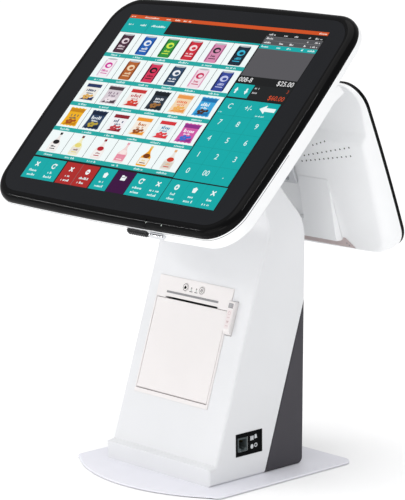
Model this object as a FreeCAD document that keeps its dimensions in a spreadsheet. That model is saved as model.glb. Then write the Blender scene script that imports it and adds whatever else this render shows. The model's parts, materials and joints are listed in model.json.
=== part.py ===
"""Point-of-sale touchscreen terminal: a pedestal with a receipt printer, and two displays that tilt.

Frame: +Z up, origin on the resting plane under the middle of the pedestal. The operator stands on the
-Y side and the customer on the +Y side. Millimetres.
"""
import FreeCAD, Part
import math
import os
import re

import Sketcher
from FreeCAD import Placement, Rotation, Vector

os.makedirs("parts", exist_ok=True)
doc = FreeCAD.newDocument("pos_terminal")

# ---------------------------------------------------------------- driving dimensions
SIZES = {
    # base plate
    "mat_thick": 1.0, "plate_thick": 2.0, "plate_half": 114.0, "plate_rear": 115.0, "plate_side_front": 78.0,
    "plate_nose": 122.0, "plate_corner": 14.0, "mat_inset": 3.0,
    # pedestal, seen from the side
    "wall": 3.2, "pedestal_width": 164.0, "pedestal_rear": 68.7, "rear_top": 72.4, "rear_rise": 250.0,
    "rear_corner": 6.6, "toe_front": 68.5, "toe_top": 22.0, "face_foot": 59.5, "face_foot_rise": 23.5,
    "face_lean": 18.33, "seam_low": 10.7, "seam_top": 187.5, "rear_cover_half": 66.0, "seam_gap": 0.6,
    "seam_bevel": 1.3, "pedestal_edge": 3.0,
    # main display, in its own frame: x right, y up the screen, z out of the screen
    "display_back": 45.46, "display_rise": 390.63, "display_lean": 44.7, "display_half": 190.0,
    "display_tall": 143.5, "display_corner": 38.0, "display_bow": 5.0, "display_top_bow": 3.0,
    "glass_half": 180.0, "glass_tall": 132.5, "glass_corner": 30.0, "glass_thick": 2.0, "rim_deep": 9.0,
    "rim_roll": 7.5, "cover_deep": 17.0, "housing_start": 11.0, "housing_side": 24.0, "housing_deep": 46.0,
    "housing_top": 63.5, "housing_flare": 47.0, "housing_inset": 27.0, "skin": 2.5, "screen_half": 152.05,
    "screen_tall": 114.05,
    # main hinge, in the display's frame
    "hinge_up": -13.5, "hinge_deep": 66.0, "nose": 16.0, "shaft": 4.0, "ear": 11.0, "run": 0.05,
    # printer, in the frame of the leaning face: x right, y up the face, z outwards
    "printer_left": -65.0, "printer_right": 51.0, "printer_low": 55.0, "printer_high": 185.0, "proud": 1.2,
    "lid_low": 60.0, "lid_high": 160.6, "barrel": 2.6, "slot_level": 161.8, "roll": 33.0, "roll_deep": 41.0,
    "roll_level": 104.0, "paper_wide": 79.5, "paper_mid": -8.5, "platen": 7.0, "platen_deep": 13.0,
    "platen_level": 150.0, "button": 4.2, "button_level": 176.0, "feed_x": -21.5, "power_x": 4.0,
    "lever_left": 51.8, "lever_right": 61.0, "lever_low": 136.0, "lever_high": 172.0, "lever_end": 7.5,
    "lever_deep": 2.0,
    # customer display, in its own frame
    "customer_back": 126.3, "customer_rise": 325.7, "customer_lean": 21.8, "customer_half": 150.0,
    "customer_tall": 99.5, "customer_corner": 27.5, "customer_bow": 2.5, "customer_rim": 5.2,
    "customer_deep": 28.0, "customer_ridge": 46.0, "customer_hump": 8.0, "arm_up": 8.0, "arm_deep": 46.0,
    "arm_radius": 9.0, "arm_half": 25.0, "arm_shaft": 3.0,
    # fasteners and fittings
    "screw": 2.0, "screw_head": 3.6, "label_low": 28.0, "label_tall": 24.5, "label_front": -30.7,
    "label_long": 38.0,
}
sheet = doc.addObject("Spreadsheet::Sheet", "Sizes")
for row, (alias, amount) in enumerate(SIZES.items(), start=1):
    sheet.set(f"A{row}", alias)
    sheet.set(f"B{row}", str(amount))
    sheet.setAlias(f"B{row}", alias)
doc.recompute()

FUNCTIONS = ("sin", "cos", "tan", "sqrt")


def cells(formula):
    """The formula with each size's name written as its cell in the sheet."""
    def cell(match):
        word = match.group()
        return word if word in FUNCTIONS else "Sizes." + word

    return re.sub(r"[a-z][a-z_]+", cell, str(formula))


def value(formula):
    return float(sheet.evalExpression(cells(formula)))


def tilted(x, y, z, lean, turn=0.0):
    """The placement of a face that leans back by that angle, with local y up the face and z out of it."""
    tip = Rotation(Vector(1, 0, 0), 90 - value(lean))
    return Placement(Vector(value(x), value(y), value(z)), Rotation(Vector(0, 0, 1), turn).multiply(tip))


WORLD = Placement()
DISPLAY = tilted(0, "-display_back", "display_rise", "display_lean")
FACE = tilted(0, "-face_foot", "face_foot_rise", "face_lean")
CUSTOMER = tilted(0, "customer_back", "customer_rise", "customer_lean", turn=180)

nodes = {}


def node(name, thing, place=WORLD):
    """Names and places a finished sub-part. A bare primitive in a leaning frame is held by a group."""
    if place is not WORLD and thing.TypeId in ("Part::Box", "Part::Cylinder"):
        thing = group(thing)
    thing.Label = name
    thing.Placement = place.multiply(thing.Placement)
    nodes[name] = thing
    return thing


# ---------------------------------------------------------------- Part objects
def bind_place(thing, corner):
    for letter, formula in zip("xyz", corner):
        thing.setExpression(f"Placement.Base.{letter}", cells(formula))


def box(low, high, place=None):
    """A box from its lowest to its highest corner, three formulas each, in the world or in a leaning frame."""
    made = doc.addObject("Part::Box", "Box")
    for side, a, b in zip(("Length", "Width", "Height"), low, high):
        made.setExpression(side, cells(f"({b}) - ({a})"))
    if place is None:
        bind_place(made, low)
    else:
        corner = Vector(*[value(formula) for formula in low])
        made.Placement = place.multiply(Placement(corner, Rotation()))
    return made


ALONG = {"x": Rotation(Vector(0, 1, 0), 90), "y": Rotation(Vector(1, 0, 0), -90), "z": Rotation()}


def rod(radius, start, length, axis="z", place=None):
    """A cylinder from its start point along an axis, in the world or in a leaning frame."""
    made = doc.addObject("Part::Cylinder", "Rod")
    made.setExpression("Radius", cells(radius))
    made.setExpression("Height", cells(length))
    if place is None:
        made.Placement = Placement(Vector(), ALONG[axis])
        bind_place(made, start)
    else:
        corner = Vector(*[value(formula) for formula in start])
        made.Placement = place.multiply(Placement(corner, ALONG[axis]))
    return made


def joined(*things):
    made = doc.addObject("Part::MultiFuse", "Joined")
    made.Shapes = list(things)
    return made


def group(*things):
    """Separate solids that share one node."""
    made = doc.addObject("Part::Compound", "Group")
    made.Links = list(things)
    return made


def less(base, *tools):
    made = doc.addObject("Part::Cut", "Less")
    made.Base = base
    made.Tool = tools[0] if len(tools) == 1 else joined(*tools)
    return made


def shared(base, tool):
    made = doc.addObject("Part::Common", "Shared")
    made.Base = base
    made.Tool = tool
    return made


def rounded(base, radius_of_edge):
    """Rounds the edges for which the function gives a radius, or a pair of radii, and leaves the others."""
    doc.recompute()
    made = doc.addObject("Part::Fillet", "Rounded")
    made.Base = base
    chosen = []
    for index, edge in enumerate(base.Shape.Edges, start=1):
        radius = radius_of_edge(edge)
        if radius:
            pair = radius if isinstance(radius, tuple) else (radius, radius)
            chosen.append((index, *pair))
    made.Edges = chosen
    return made


def extruded(sketch, length, both=True):
    made = doc.addObject("Part::Extrusion", "Extruded")
    made.Base = sketch
    made.DirMode = "Normal"
    made.Solid = True
    made.Symmetric = both
    made.setExpression("LengthFwd", cells(length))
    return made


def offset_of(sketch, amount):
    made = doc.addObject("Part::Offset2D", "Inset")
    made.Source = sketch
    made.Value = value(amount)
    made.setExpression("Value", cells(amount))
    made.Join = "Tangent"
    return made


# ---------------------------------------------------------------- sketches
SIDEWAYS = Rotation(Vector(1, 1, 1), 120)


def free_sketch(name, rotation=Rotation()):
    made = doc.addObject("Sketcher::SketchObject", name)
    made.Placement = Placement(Vector(), rotation)
    return made


def bound(sketch, kind, *where, formula):
    index = sketch.addConstraint(Sketcher.Constraint(kind, *where, value(formula)))
    sketch.setExpression(f"Constraints[{index}]", cells(formula))


def draw(sketch, start, *steps):
    """A closed outline of straight steps (x, y) and arcs (mid x, mid y, x, y), its corners bound to the sheet."""
    first = sketch.GeometryCount
    corners = [start] + [step[-2:] for step in steps]
    spots = [Vector(value(x), value(y), 0) for x, y in corners]
    edges = []
    for number, step in enumerate(steps):
        a, b = spots[number], spots[number + 1]
        if len(step) == 2:
            edges.append(Part.LineSegment(a, b))
        else:
            edges.append(Part.Arc(a, Vector(value(step[0]), value(step[1]), 0), b))
    if (spots[-1] - spots[0]).Length > 1e-6:
        edges.append(Part.LineSegment(spots[-1], spots[0]))
    sketch.addGeometry(edges, False)
    ends = []
    for number, edge in enumerate(edges):
        where = first + number
        a_end, b_end = 1, 2
        if not isinstance(edge, Part.LineSegment):
            begun = sketch.getPoint(where, 1)
            if (begun - spots[number]).Length > 1e-4:
                a_end, b_end = 2, 1
            chord, middle = spots[number + 1] - spots[number], sketch.Geometry[where].Center
            if abs(chord.x) > abs(chord.y):
                sketch.addConstraint(Sketcher.Constraint("DistanceY", -1, 1, where, 3, middle.y))
            else:
                sketch.addConstraint(Sketcher.Constraint("DistanceX", -1, 1, where, 3, middle.x))
        ends.append((where, a_end, b_end))
    for number, (where, a_end, b_end) in enumerate(ends):
        following = ends[(number + 1) % len(ends)]
        sketch.addConstraint(Sketcher.Constraint("Coincident", where, b_end, following[0], following[1]))
        x, y = corners[number]
        bound(sketch, "DistanceX", -1, 1, where, a_end, formula=x)
        bound(sketch, "DistanceY", -1, 1, where, a_end, formula=y)
    return sketch


def draw_box(sketch, x0, y0, x1, y1):
    return draw(sketch, (x0, y0), (x1, y0), (x1, y1), (x0, y1))


def draw_circle(sketch, x, y, radius):
    circle = Part.Circle(Vector(value(x), value(y), 0), Vector(0, 0, 1), value(radius))
    where = sketch.addGeometry(circle, False)
    bound(sketch, "DistanceX", -1, 1, where, 3, formula=x)
    bound(sketch, "DistanceY", -1, 1, where, 3, formula=y)
    bound(sketch, "Radius", where, formula=radius)
    return sketch


def draw_bowed(sketch, half, tall, corner, bow, top_bow):
    """A rounded rectangle about the origin whose sides bow outwards: eight arcs, each tangent to the next."""
    side_radius = f"(({tall}) * ({tall}) + ({bow}) * ({bow})) / (2 * ({bow}))"
    top_radius = f"(({half}) * ({half}) + ({top_bow}) * ({top_bow})) / (2 * ({top_bow}))"
    side, top, small = value(side_radius), value(top_radius), value(corner)
    wide, high = value(half), value(tall)
    x, y = wide - small, high - small
    for _ in range(40):
        x = wide - side + math.sqrt((side - small) ** 2 - y * y)
        y = high - top + math.sqrt((top - small) ** 2 - x * x)
    a = math.atan2(y, x - (wide - side))
    b = math.atan2(y - (high - top), x)
    full = math.pi
    arcs = [
        (wide - side, 0, side, -a, a),
        (x, y, small, a, b),
        (0, high - top, top, b, full - b),
        (-x, y, small, full - b, full - a),
        (side - wide, 0, side, full - a, full + a),
        (-x, -y, small, full + a, full + b),
        (0, top - high, top, full + b, 2 * full - b),
        (x, -y, small, 2 * full - b, 2 * full - a),
    ]
    first = sketch.GeometryCount
    upright = Vector(0, 0, 1)
    made = [Part.ArcOfCircle(Part.Circle(Vector(cx, cy, 0), upright, r), p, q) for cx, cy, r, p, q in arcs]
    sketch.addGeometry(made, False)
    for number in range(8):
        following = first + (number + 1) % 8
        sketch.addConstraint(Sketcher.Constraint("Tangent", first + number, 2, following, 1))
    for number, formula in ((0, side_radius), (4, side_radius), (2, top_radius), (6, top_radius)):
        bound(sketch, "Radius", first + number, formula=formula)
    for number in (1, 3, 5, 7):
        bound(sketch, "Radius", first + number, formula=corner)
    for number, sign in ((0, 1), (4, -1)):
        sketch.addConstraint(Sketcher.Constraint("PointOnObject", first + number, 3, -1))
        bound(sketch, "DistanceX", -1, 1, first + number, 3, formula=f"{sign} * (({half}) - {side_radius})")
    for number, sign in ((2, 1), (6, -1)):
        sketch.addConstraint(Sketcher.Constraint("PointOnObject", first + number, 3, -2))
        bound(sketch, "DistanceY", -1, 1, first + number, 3, formula=f"{sign} * (({tall}) - {top_radius})")
    return sketch


def display_outline(sketch, inset=0):
    return draw_bowed(sketch, f"display_half - {inset}", f"display_tall - {inset}",
                      f"display_corner - {inset}", "display_bow", "display_top_bow")


def glass_outline(sketch, grow=0):
    return draw_bowed(sketch, f"glass_half + {grow}", f"glass_tall + {grow}", f"glass_corner + {grow}",
                      "display_bow - 1", "display_top_bow - 1")


def customer_outline(sketch, inset=0):
    return draw_bowed(sketch, f"customer_half - {inset}", f"customer_tall - {inset}",
                      f"customer_corner - {inset}", "customer_bow", "customer_bow")


# ---------------------------------------------------------------- PartDesign bodies
def new_body(name):
    return doc.addObject("PartDesign::Body", name + "_body")


def sketch_on(body, lift=0, plane="XY_Plane"):
    """A sketch on one of the body's own origin planes, moved along that plane's normal."""
    made = body.newObject("Sketcher::SketchObject", "Sketch")
    flat = next(f for f in body.Origin.OriginFeatures if f.Role == plane)
    made.AttachmentSupport = [(flat, "")]
    made.MapMode = "FlatFace"
    made.setExpression("AttachmentOffset.Base.z", cells(lift))
    return made


def pad(body, sketch, length, side="One side", down=False):
    made = body.newObject("PartDesign::Pad", "Pad")
    made.Profile = sketch
    made.SideType = side
    made.Reversed = down
    made.setExpression("Length", cells(length))
    sketch.Visibility = False
    doc.recompute()
    return made


def pocket(body, sketch, depth=None, side="One side", up=False):
    """Cuts down from the sketch, or up, by a depth or through everything, and makes sure that it cut."""
    before = body.Shape.Volume
    made = body.newObject("PartDesign::Pocket", "Pocket")
    made.Profile = sketch
    made.Reversed = up
    made.SideType = side
    if depth is None:
        made.Type = "ThroughAll"
    else:
        made.setExpression("Length", cells(depth))
    doc.recompute()
    if body.Shape.Volume > before - 1e-3:
        raise RuntimeError(f"{body.Name}: a pocket cut nothing")
    return made


def loft(body, *sketches):
    made = body.newObject("PartDesign::AdditiveLoft", "Loft")
    made.Profile = sketches[0]
    made.Sections = list(sketches[1:])
    made.Ruled = True
    doc.recompute()
    return made


def fillet(body, feature, radius, keep):
    """Rounds the feature's edges that the test keeps."""
    doc.recompute()
    names = [f"Edge{i}" for i, e in enumerate(feature.Shape.Edges, start=1) if keep(e)]
    made = body.newObject("PartDesign::Fillet", "Fillet")
    made.Base = (feature, names)
    made.setExpression("Radius", cells(radius))
    doc.recompute()
    return made


def at_height(height):
    """A test for edges that lie wholly at one local height."""
    level = value(height)
    return lambda e: abs(e.BoundBox.ZMin - level) < 1e-3 and abs(e.BoundBox.ZMax - level) < 1e-3


# ---------------------------------------------------------------- base
def plate_outline(sketch, inset):
    """Flat back, parallel sides, rounded corners and a front edge that bows towards the operator."""
    half = f"(plate_half - {inset})"
    rear = f"(plate_rear - {inset})"
    nose = f"(plate_nose - {inset})"
    corner = f"(plate_corner - {inset})"
    bend = 0.29289
    shoulder = 0.87
    draw(sketch, (f"-{half}", f"{rear} - {corner}"),
         (f"-{half}", "-plate_side_front"),
         (f"-{half} + 2.2", "-plate_side_front - 6.4", f"-{half} + 8.5", "-plate_side_front - 9.6"),
         (0, f"-{nose}", f"{half} - 8.5", "-plate_side_front - 9.6"),
         (f"{half} - 2.2", "-plate_side_front - 6.4", half, "-plate_side_front"),
         (half, f"{rear} - {corner}"),
         (f"{half} - {bend} * {corner}", f"{rear} - {bend} * {corner}", f"{half} - {corner}", rear),
         (f"-{half} + {corner}", rear),
         (f"-{half} + {bend} * {corner}", f"{rear} - {bend} * {corner}", f"-{half}", f"{rear} - {corner}"))
    return sketch


FOOT_X, FOOT_FRONT, FOOT_REAR = 50, -34, 50
foot_spots = [(x, y) for x in (-FOOT_X, FOOT_X) for y in (FOOT_FRONT, FOOT_REAR)]

mat = new_body("mat")
pad(mat, plate_outline(sketch_on(mat), "mat_inset"), "mat_thick")
node("base_mat", mat)

plate = new_body("plate")
plate_pad = pad(plate, plate_outline(sketch_on(plate, "mat_thick"), 0), "plate_thick")
fillet(plate, plate_pad, 0.7, at_height("mat_thick + plate_thick"))
sinks = sketch_on(plate, "mat_thick")
for x, y in foot_spots:
    draw_circle(sinks, x, y, "screw_head + 0.1")
pocket(plate, sinks, 1.1, up=True)
holes = sketch_on(plate, "mat_thick + plate_thick")
for x, y in foot_spots:
    draw_circle(holes, x, y, "screw + 0.1")
pocket(plate, holes)
node("base_plate", plate)


def screw(x, y, z, length, axis="z", head_side=-1):
    """A flat-headed screw: its head's outer face is at the point and its shank runs the other way."""
    spot = {"x": (1, 0, 0), "y": (0, 1, 0), "z": (0, 0, 1)}[axis]
    head_thick = 1.0
    low_head = 0 if head_side < 0 else -head_thick
    low_shank = 0.5 if head_side < 0 else f"-({length})"
    head = rod("screw_head", [f"({c}) + {low_head * s}" for c, s in zip((x, y, z), spot)], head_thick, axis)
    reach = f"({length}) - 0.5"
    start = [f"({c}) + ({low_shank}) * {s}" for c, s in zip((x, y, z), spot)]
    return joined(head, rod("screw", start, reach, axis))


node("base_screws", group(*[screw(x, y, "mat_thick + 0.05", 3.9) for x, y in foot_spots]))

# ---------------------------------------------------------------- pedestal
axis_up, axis_deep, nose = value("hinge_up"), value("hinge_deep"), value("nose")


def display_to_side(up, deep):
    """A point of the display's frame, given up the screen and behind the glass, as world y and z."""
    spot = DISPLAY.multVec(Vector(0, up, -deep))
    return round(spot.y, 3), round(spot.z, 3)


ELBOW_RISE = 254.2
REAR_SLOPE = "(rear_top - pedestal_rear) / (rear_rise - 3 - rear_corner)"


def rear_at(rise):
    """How far back the pedestal's leaning back is at a height."""
    return f"(pedestal_rear + (({rise}) - 3 - rear_corner) * {REAR_SLOPE})"


profile = free_sketch("PedestalProfile", SIDEWAYS)
draw(profile, ("-toe_front", 3.0),
     ("-toe_front", "toe_top"),
     ("-face_foot", "face_foot_rise"),
     (f"({ELBOW_RISE} - face_foot_rise) * tan(face_lean) - face_foot", ELBOW_RISE),
     (18.5, 265.0, 14.2, 277.3),
     (8.6, 289.6, 0.6, 301.2),
     display_to_side(axis_up - nose, axis_deep),
     (*display_to_side(axis_up, axis_deep - nose), *display_to_side(axis_up + nose, axis_deep)),
     (38.5, 305.3),
     (57.6, 283.2),
     (69.0, 267.2, "rear_top", "rear_rise"),
     ("pedestal_rear", "3 + rear_corner"),
     ("pedestal_rear - 0.29289 * rear_corner", "3 + 0.29289 * rear_corner",
      "pedestal_rear - rear_corner", 3.0))
solid_pedestal = extruded(profile, "pedestal_width")


def edge_radius(edge):
    """One soft radius along the edges between the pedestal's sides and its front, neck and back."""
    if abs(abs(edge.CenterOfMass.x) - value("pedestal_width") / 2) > 1e-3:
        return None
    if max(corner.Z for corner in edge.Vertexes) < 3.01:
        return None
    return value("pedestal_edge")


outer_pedestal = rounded(solid_pedestal, edge_radius)
inner_pedestal = extruded(offset_of(profile, "-wall"), "pedestal_width - 2 * wall")

BIG = 400
seam = free_sketch("Seam", SIDEWAYS)
seam_slope = f"({rear_at('seam_top')} - seam_low) / (seam_top - 3)"
draw(seam, (f"seam_low - 3 * {seam_slope}", 0),
     (f"seam_low + 197 * {seam_slope}", 200),
     (BIG, 200),
     (BIG, 0))
behind_seam = extruded(seam, BIG)
seam_forward = free_sketch("SeamGap", SIDEWAYS)
draw(seam_forward, (f"seam_low - 3 * {seam_slope} + seam_gap", -1),
     (f"seam_low + 197 * {seam_slope} + seam_gap", 199),
     (BIG, 199),
     (BIG, -1))
behind_gap = extruded(seam_forward, BIG)

hollow = joined(inner_pedestal, box(("wall - pedestal_width / 2", "wall - toe_front", 0),
                                    ("pedestal_width / 2 - wall", "pedestal_rear - rear_corner", 10)))

# The opening for the printer and the lever's slot, made in the leaning face's frame.
printer_hole = box(("printer_left + 0.8", "printer_low + 0.8", -12),
                   ("printer_right - 0.8", "printer_high - 0.8", 6), FACE)
lever_slot = box(("lever_left - 0.4", "lever_low - 0.4", -12),
                 ("lever_right + 0.4", "lever_high + 0.4", 6), FACE)
lever_axis = ("lever_left - 1.2", "lever_low + lever_end", "-lever_deep")
lever_bore = rod(1.1, lever_axis, "lever_right - lever_left + 2.4", "x", FACE)
jack_hole = box((70, "label_front + 2.4", "label_low + 4.6"), (90, "label_front + 17.2", "label_low + 20"))


def rear_panel(name, gap):
    """The rear panel's space seen from the side: the outer wall from above the wedge to the neck's top."""
    deep = f"(wall + {gap})"
    outline = free_sketch(name, SIDEWAYS)
    draw(outline, (BIG, f"seam_top + 1.5 - {gap}"),
         (BIG, 352.5),
         (f"35.15 - {gap}", f"354.6 + {gap}"),
         (f"12.2 - 0.77 * {deep}", f"335.3 - 0.64 * {deep} + {gap}"),
         (f"38.5 - 0.78 * {deep}", f"305.3 - 0.63 * {deep}"),
         (f"57.6 - 0.82 * {deep}", f"283.2 - 0.57 * {deep}"),
         (f"69.0 - 0.93 * {deep}", f"267.2 - 0.37 * {deep}", f"rear_top - {deep}", "rear_rise"),
         (f"{rear_at('seam_top')} - {deep}", f"seam_top + 1.5 - {gap}"))
    return outline


rear_opening = extruded(rear_panel("RearOpening", 0.25), "2 * rear_cover_half")

# Slots in the nose of the neck, where the display's ears come out.
ear_in, ear_out = 43.6, 47.4
slot_low = display_to_side(axis_up, axis_deep)
ear_slots = [box((side - 0.6 if side > 0 else side - 4.4, slot_low[0] - 36, slot_low[1] - 30),
                 (side + 4.4 if side > 0 else side + 0.6, slot_low[0] + 13.5, slot_low[1] + 30))
             for side in (ear_in, -ear_in)]

front_shell = less(outer_pedestal, hollow, behind_seam, printer_hole, lever_slot, lever_bore, jack_hole,
                   rear_opening, *ear_slots)
node("front_shell", front_shell)

seam_lean = math.atan(value(seam_slope))
seam_turn = Rotation(Vector(1, 0, 0), -math.degrees(seam_lean))
seam_foot = value(f"seam_low + seam_gap - 3 * {seam_slope}")
bevel_half = value("seam_bevel") / math.sqrt(2)
bevels = []
for side in (-1, 1):
    corner = Placement(Vector(side * value("pedestal_width") / 2, seam_foot, -1),
                       seam_turn.multiply(Rotation(Vector(0, 0, 1), 45)))
    bevels.append(box((-bevel_half, -bevel_half, -5), (bevel_half, bevel_half, 260), corner))
wedge_solid = less(shared(outer_pedestal, behind_gap), *bevels)
inlet_hole = box((18.8, 60, 18.8), (31.2, 80, 31.2))
COVER_SCREWS = [(x, z) for x in (-54, 54) for z in (24, 140)]
cover_holes = [rod("screw + 0.1", (x, 50, z), 40, "y") for x, z in COVER_SCREWS]
cover_holes += [rod("screw_head + 0.2", (x, f"{rear_at(z)} - 0.9", z), 9, "y") for x, z in COVER_SCREWS]
wedge_cut = less(wedge_solid, hollow, inlet_hole, *cover_holes,
                 *[box((x - 1.5, 60, 96), (x + 1.5, 80, 126)) for x in range(-40, 41, 8)])
node("wedge_cover", wedge_cut)

arm_slot = box(("-arm_half - 1.5", 30, 275), ("arm_half + 1.5", 84, 316))
rear_cover_region = extruded(rear_panel("RearCover", 0), "2 * rear_cover_half - 0.6")
rear_cover = less(shared(outer_pedestal, rear_cover_region), arm_slot, *[
    box((x - 1.2, 60, 200), (x + 1.2, 80, 236)) for x in range(-42, 43, 7)])
node("rear_cover", rear_cover)

# ---------------------------------------------------------------- frame inside the pedestal
chassis = new_body("chassis")
side_half = 60.0
sheet_thick = 2.0
foot = draw_box(sketch_on(chassis, "mat_thick + plate_thick"), -side_half, -44, side_half, 60)
pad(chassis, foot, sheet_thick)
sides = sketch_on(chassis, -side_half, "YZ_Plane")
draw(sides, (-44, 3.0), (-44, 34), (-14, 66), (20, 236), (26, 262), (44, 262), (60, 236), (60, 3.0))
pad(chassis, sides, sheet_thick)
other_side = sketch_on(chassis, side_half - sheet_thick, "YZ_Plane")
draw(other_side, (-44, 3.0), (-44, 34), (-14, 66), (20, 236), (26, 262), (44, 262), (60, 236), (60, 3.0))
pad(chassis, other_side, sheet_thick)
pad(chassis, draw_box(sketch_on(chassis, -60, "XZ_Plane"), -side_half, 3.0, side_half, 236), sheet_thick)
windows = sketch_on(chassis, "mat_thick + plate_thick + 2")
for x, y in foot_spots:
    draw_circle(windows, x, y, "screw")
pocket(chassis, windows)
TOOTH = 1.0
PLATEN_TEETH, PINION_TEETH = 20, 12
mesh = TOOTH * (PLATEN_TEETH + PINION_TEETH) / 2 + 0.12
pinion_spot = FACE.multVec(Vector(0, value("platen_level"), -value("platen_deep") - mesh))
motor_window = rod(11, (-70, pinion_spot.y, pinion_spot.z), 20, "x")
node("chassis", less(chassis, motor_window))

neck_pivot = display_to_side(axis_up, axis_deep)
bracket_out, bracket_in = 52.0, 49.6


def neck_ear(x_low, x_high):
    """One steel ear of the neck bracket: a strip up the neck with a round end about the tilt shaft."""
    ear = draw(free_sketch("NeckEar", SIDEWAYS),
               (26, 268), (32, 244), (44, 244), (46, 262), (37, 280),
               (display_to_side(axis_up + 11, axis_deep + 20)),
               display_to_side(axis_up + 11, axis_deep),
               (*display_to_side(axis_up, axis_deep - 11), *display_to_side(axis_up - 11, axis_deep)),
               display_to_side(axis_up - 11, axis_deep + 24))
    flat = extruded(ear, x_high - x_low, both=False)
    flat.Placement = Placement(Vector(x_low, 0, 0), Rotation()).multiply(flat.Placement)
    return flat


neck_web = box((-bracket_out, 40, 238), (bracket_out, 42.4, 262))
shaft_hole = rod("shaft", (-60, neck_pivot[0], neck_pivot[1]), 120, "x")
neck_ears = [neck_ear(bracket_in, bracket_out), neck_ear(-bracket_out, -bracket_in)]
node("neck_bracket", less(joined(*neck_ears, neck_web), shaft_hole))
node("tilt_shaft", rod("shaft", (-55, neck_pivot[0], neck_pivot[1]), 110, "x"))

power_board = joined(
    box((-54, -38, 9), (54, 46, 10.6)),
    box((-48, -30, 10.6), (-14, 2, 38)),
    box((-8, -32, 10.6), (22, -8, 30)),
    rod(9, (36, -20, 10.6), 26), rod(7, (36, 4, 10.6), 22), box((-46, 10, 10.6), (-20, 38, 26)),
    *[box((x, 14, 10.6), (x + 2, 40, 32)) for x in (-8, -3, 2, 7, 12)],
    *[rod(3, (x, y, "mat_thick + plate_thick + 2"), 4) for x in (-50, 50) for y in (-20, 42)])
node("power_board", power_board)

jack_low, jack_front = "label_low + 5", "label_front + 2.8"
port_board = box((62.2, "label_front - 2", 24), (63.8, 14, 58))
node("port_board", port_board)
jack_body = box((63.8, jack_front, jack_low),
                ("pedestal_width / 2", f"{jack_front} + 14", f"{jack_low} + 14.6"))
jack_mouth = box((68, f"{jack_front} + 1.6", f"{jack_low} + 3.4"),
                 (90, f"{jack_front} + 12.4", f"{jack_low} + 13"))
jack_notch = box((68, f"{jack_front} + 4.6", f"{jack_low} + 1.2"),
                 (90, f"{jack_front} + 9.4", f"{jack_low} + 5"))
node("cash_drawer_jack", less(jack_body, jack_mouth, jack_notch))
label = box(("pedestal_width / 2", "label_front", "label_low"),
            ("pedestal_width / 2 + 0.4", "label_front + label_long", "label_low + label_tall"))
node("port_label", less(label, box((70, "label_front + 2.4", "label_low + 4.6"),
                                   (90, "label_front + 17.2", "label_low + 20"))))
inlet = less(joined(box((19, 61.2, 19), (31, "pedestal_rear", 31)), box((16, 61, 16), (34, 64.6, 34))),
             rod(3.2, (25, 63.5, 25), 12, "y"))
node("power_inlet", joined(inlet, rod(1.0, (25, 62.5, 25), 5.5, "y")))
node("cover_screws", group(*[screw(x, f"{rear_at(z)} + 0.3", z, 8.6, "y", head_side=1)
                             for x, z in COVER_SCREWS]))

# ---------------------------------------------------------------- receipt printer, in the leaning face's frame
PRINTER_LAMPS = (-12.4, -4.6)
bezel = new_body("bezel")
bezel_outline = draw_box(sketch_on(bezel), "printer_left", "printer_low", "printer_right", "printer_high")
bezel_pad = pad(bezel, bezel_outline, "proud")
fillet(bezel, bezel_pad, 0.6, at_height("proud"))
pad(bezel, draw_box(sketch_on(bezel), "printer_left + 0.9", "printer_low + 0.9", "printer_right - 0.9",
                    "printer_high - 0.9"), 9, down=True)
pocket(bezel, draw_box(sketch_on(bezel, "proud"), "printer_left + 2", "lid_low - 0.4", "printer_right - 2",
                       "slot_level - 0.8"))
pocket(bezel, draw_box(sketch_on(bezel, -1.6), "printer_left + 5.6", "slot_level + 8.6",
                       "printer_right - 5.6", "printer_high - 5.6"))
# A relief behind the bezel's face, where the platen's gear swings past as the lid opens.
pocket(bezel, draw_box(sketch_on(bezel, -1.4), -58, "slot_level - 2", -50.6, "slot_level + 1.8"))
paper_mouth = draw_box(sketch_on(bezel, "proud"), "paper_mid - 41", "slot_level - 1.5", "paper_mid + 41",
                       "slot_level + 1")
pocket(bezel, paper_mouth)
button_holes = sketch_on(bezel, "proud")
for spot in ("feed_x", "power_x"):
    draw_circle(button_holes, spot, "button_level", "button + 0.3")
for x in PRINTER_LAMPS:
    draw_circle(button_holes, x, "button_level - 1.5", 1.0)
pocket(bezel, button_holes)
bar_low, bar_high = "slot_level + 4.8", "slot_level + 7"
pocket(bezel, draw_box(sketch_on(bezel, "proud"), "paper_mid - 40.6", f"{bar_low} - 0.1",
                       "paper_mid + 40.6", f"{bar_high} + 0.1"))
hinge_axis = ("printer_left + 1.2", "lid_low + barrel", "proud - 0.2 - barrel")
hinge_long = "printer_right - printer_left - 2.4"
node("printer_bezel", less(bezel, rod(1.2, hinge_axis, hinge_long, "x")), FACE)
node("lid_hinge_pin", rod(1.2, hinge_axis, hinge_long, "x"), FACE)

for name, spot in (("feed_button", "feed_x"), ("printer_power_button", "power_x")):
    cap = new_body(name)
    cap_pad = pad(cap, draw_circle(sketch_on(cap, -3.4), spot, "button_level", "button"), "proud + 4.0")
    fillet(cap, cap_pad, 0.4, at_height("proud + 0.6"))
    pad(cap, draw_circle(sketch_on(cap, -3.4), spot, "button_level", 1.4), 2.2, down=True)
    node(name, cap, FACE)
lamp_rods = [rod(0.95, (x, "button_level - 1.5", -5.6), "proud + 5.7") for x in PRINTER_LAMPS]
node("printer_lamps", group(*lamp_rods), FACE)
printer_board = joined(
    box(("printer_left + 8", "slot_level + 9.2", -8.4), ("printer_right - 8", "printer_high - 6.4", -6.9)),
    box((-50, "slot_level + 9.6", -11.4), (-34, "printer_high - 7", -8.4)),
    box((14, "slot_level + 9.6", -12.4), (40, "printer_high - 7", -8.4)))
node("printer_board", printer_board, FACE)
tear_bar = box(("paper_mid - 40.5", bar_low, -6.4), ("paper_mid + 40.5", bar_high, "proud + 0.3"))
node("tear_bar", tear_bar, FACE)

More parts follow.
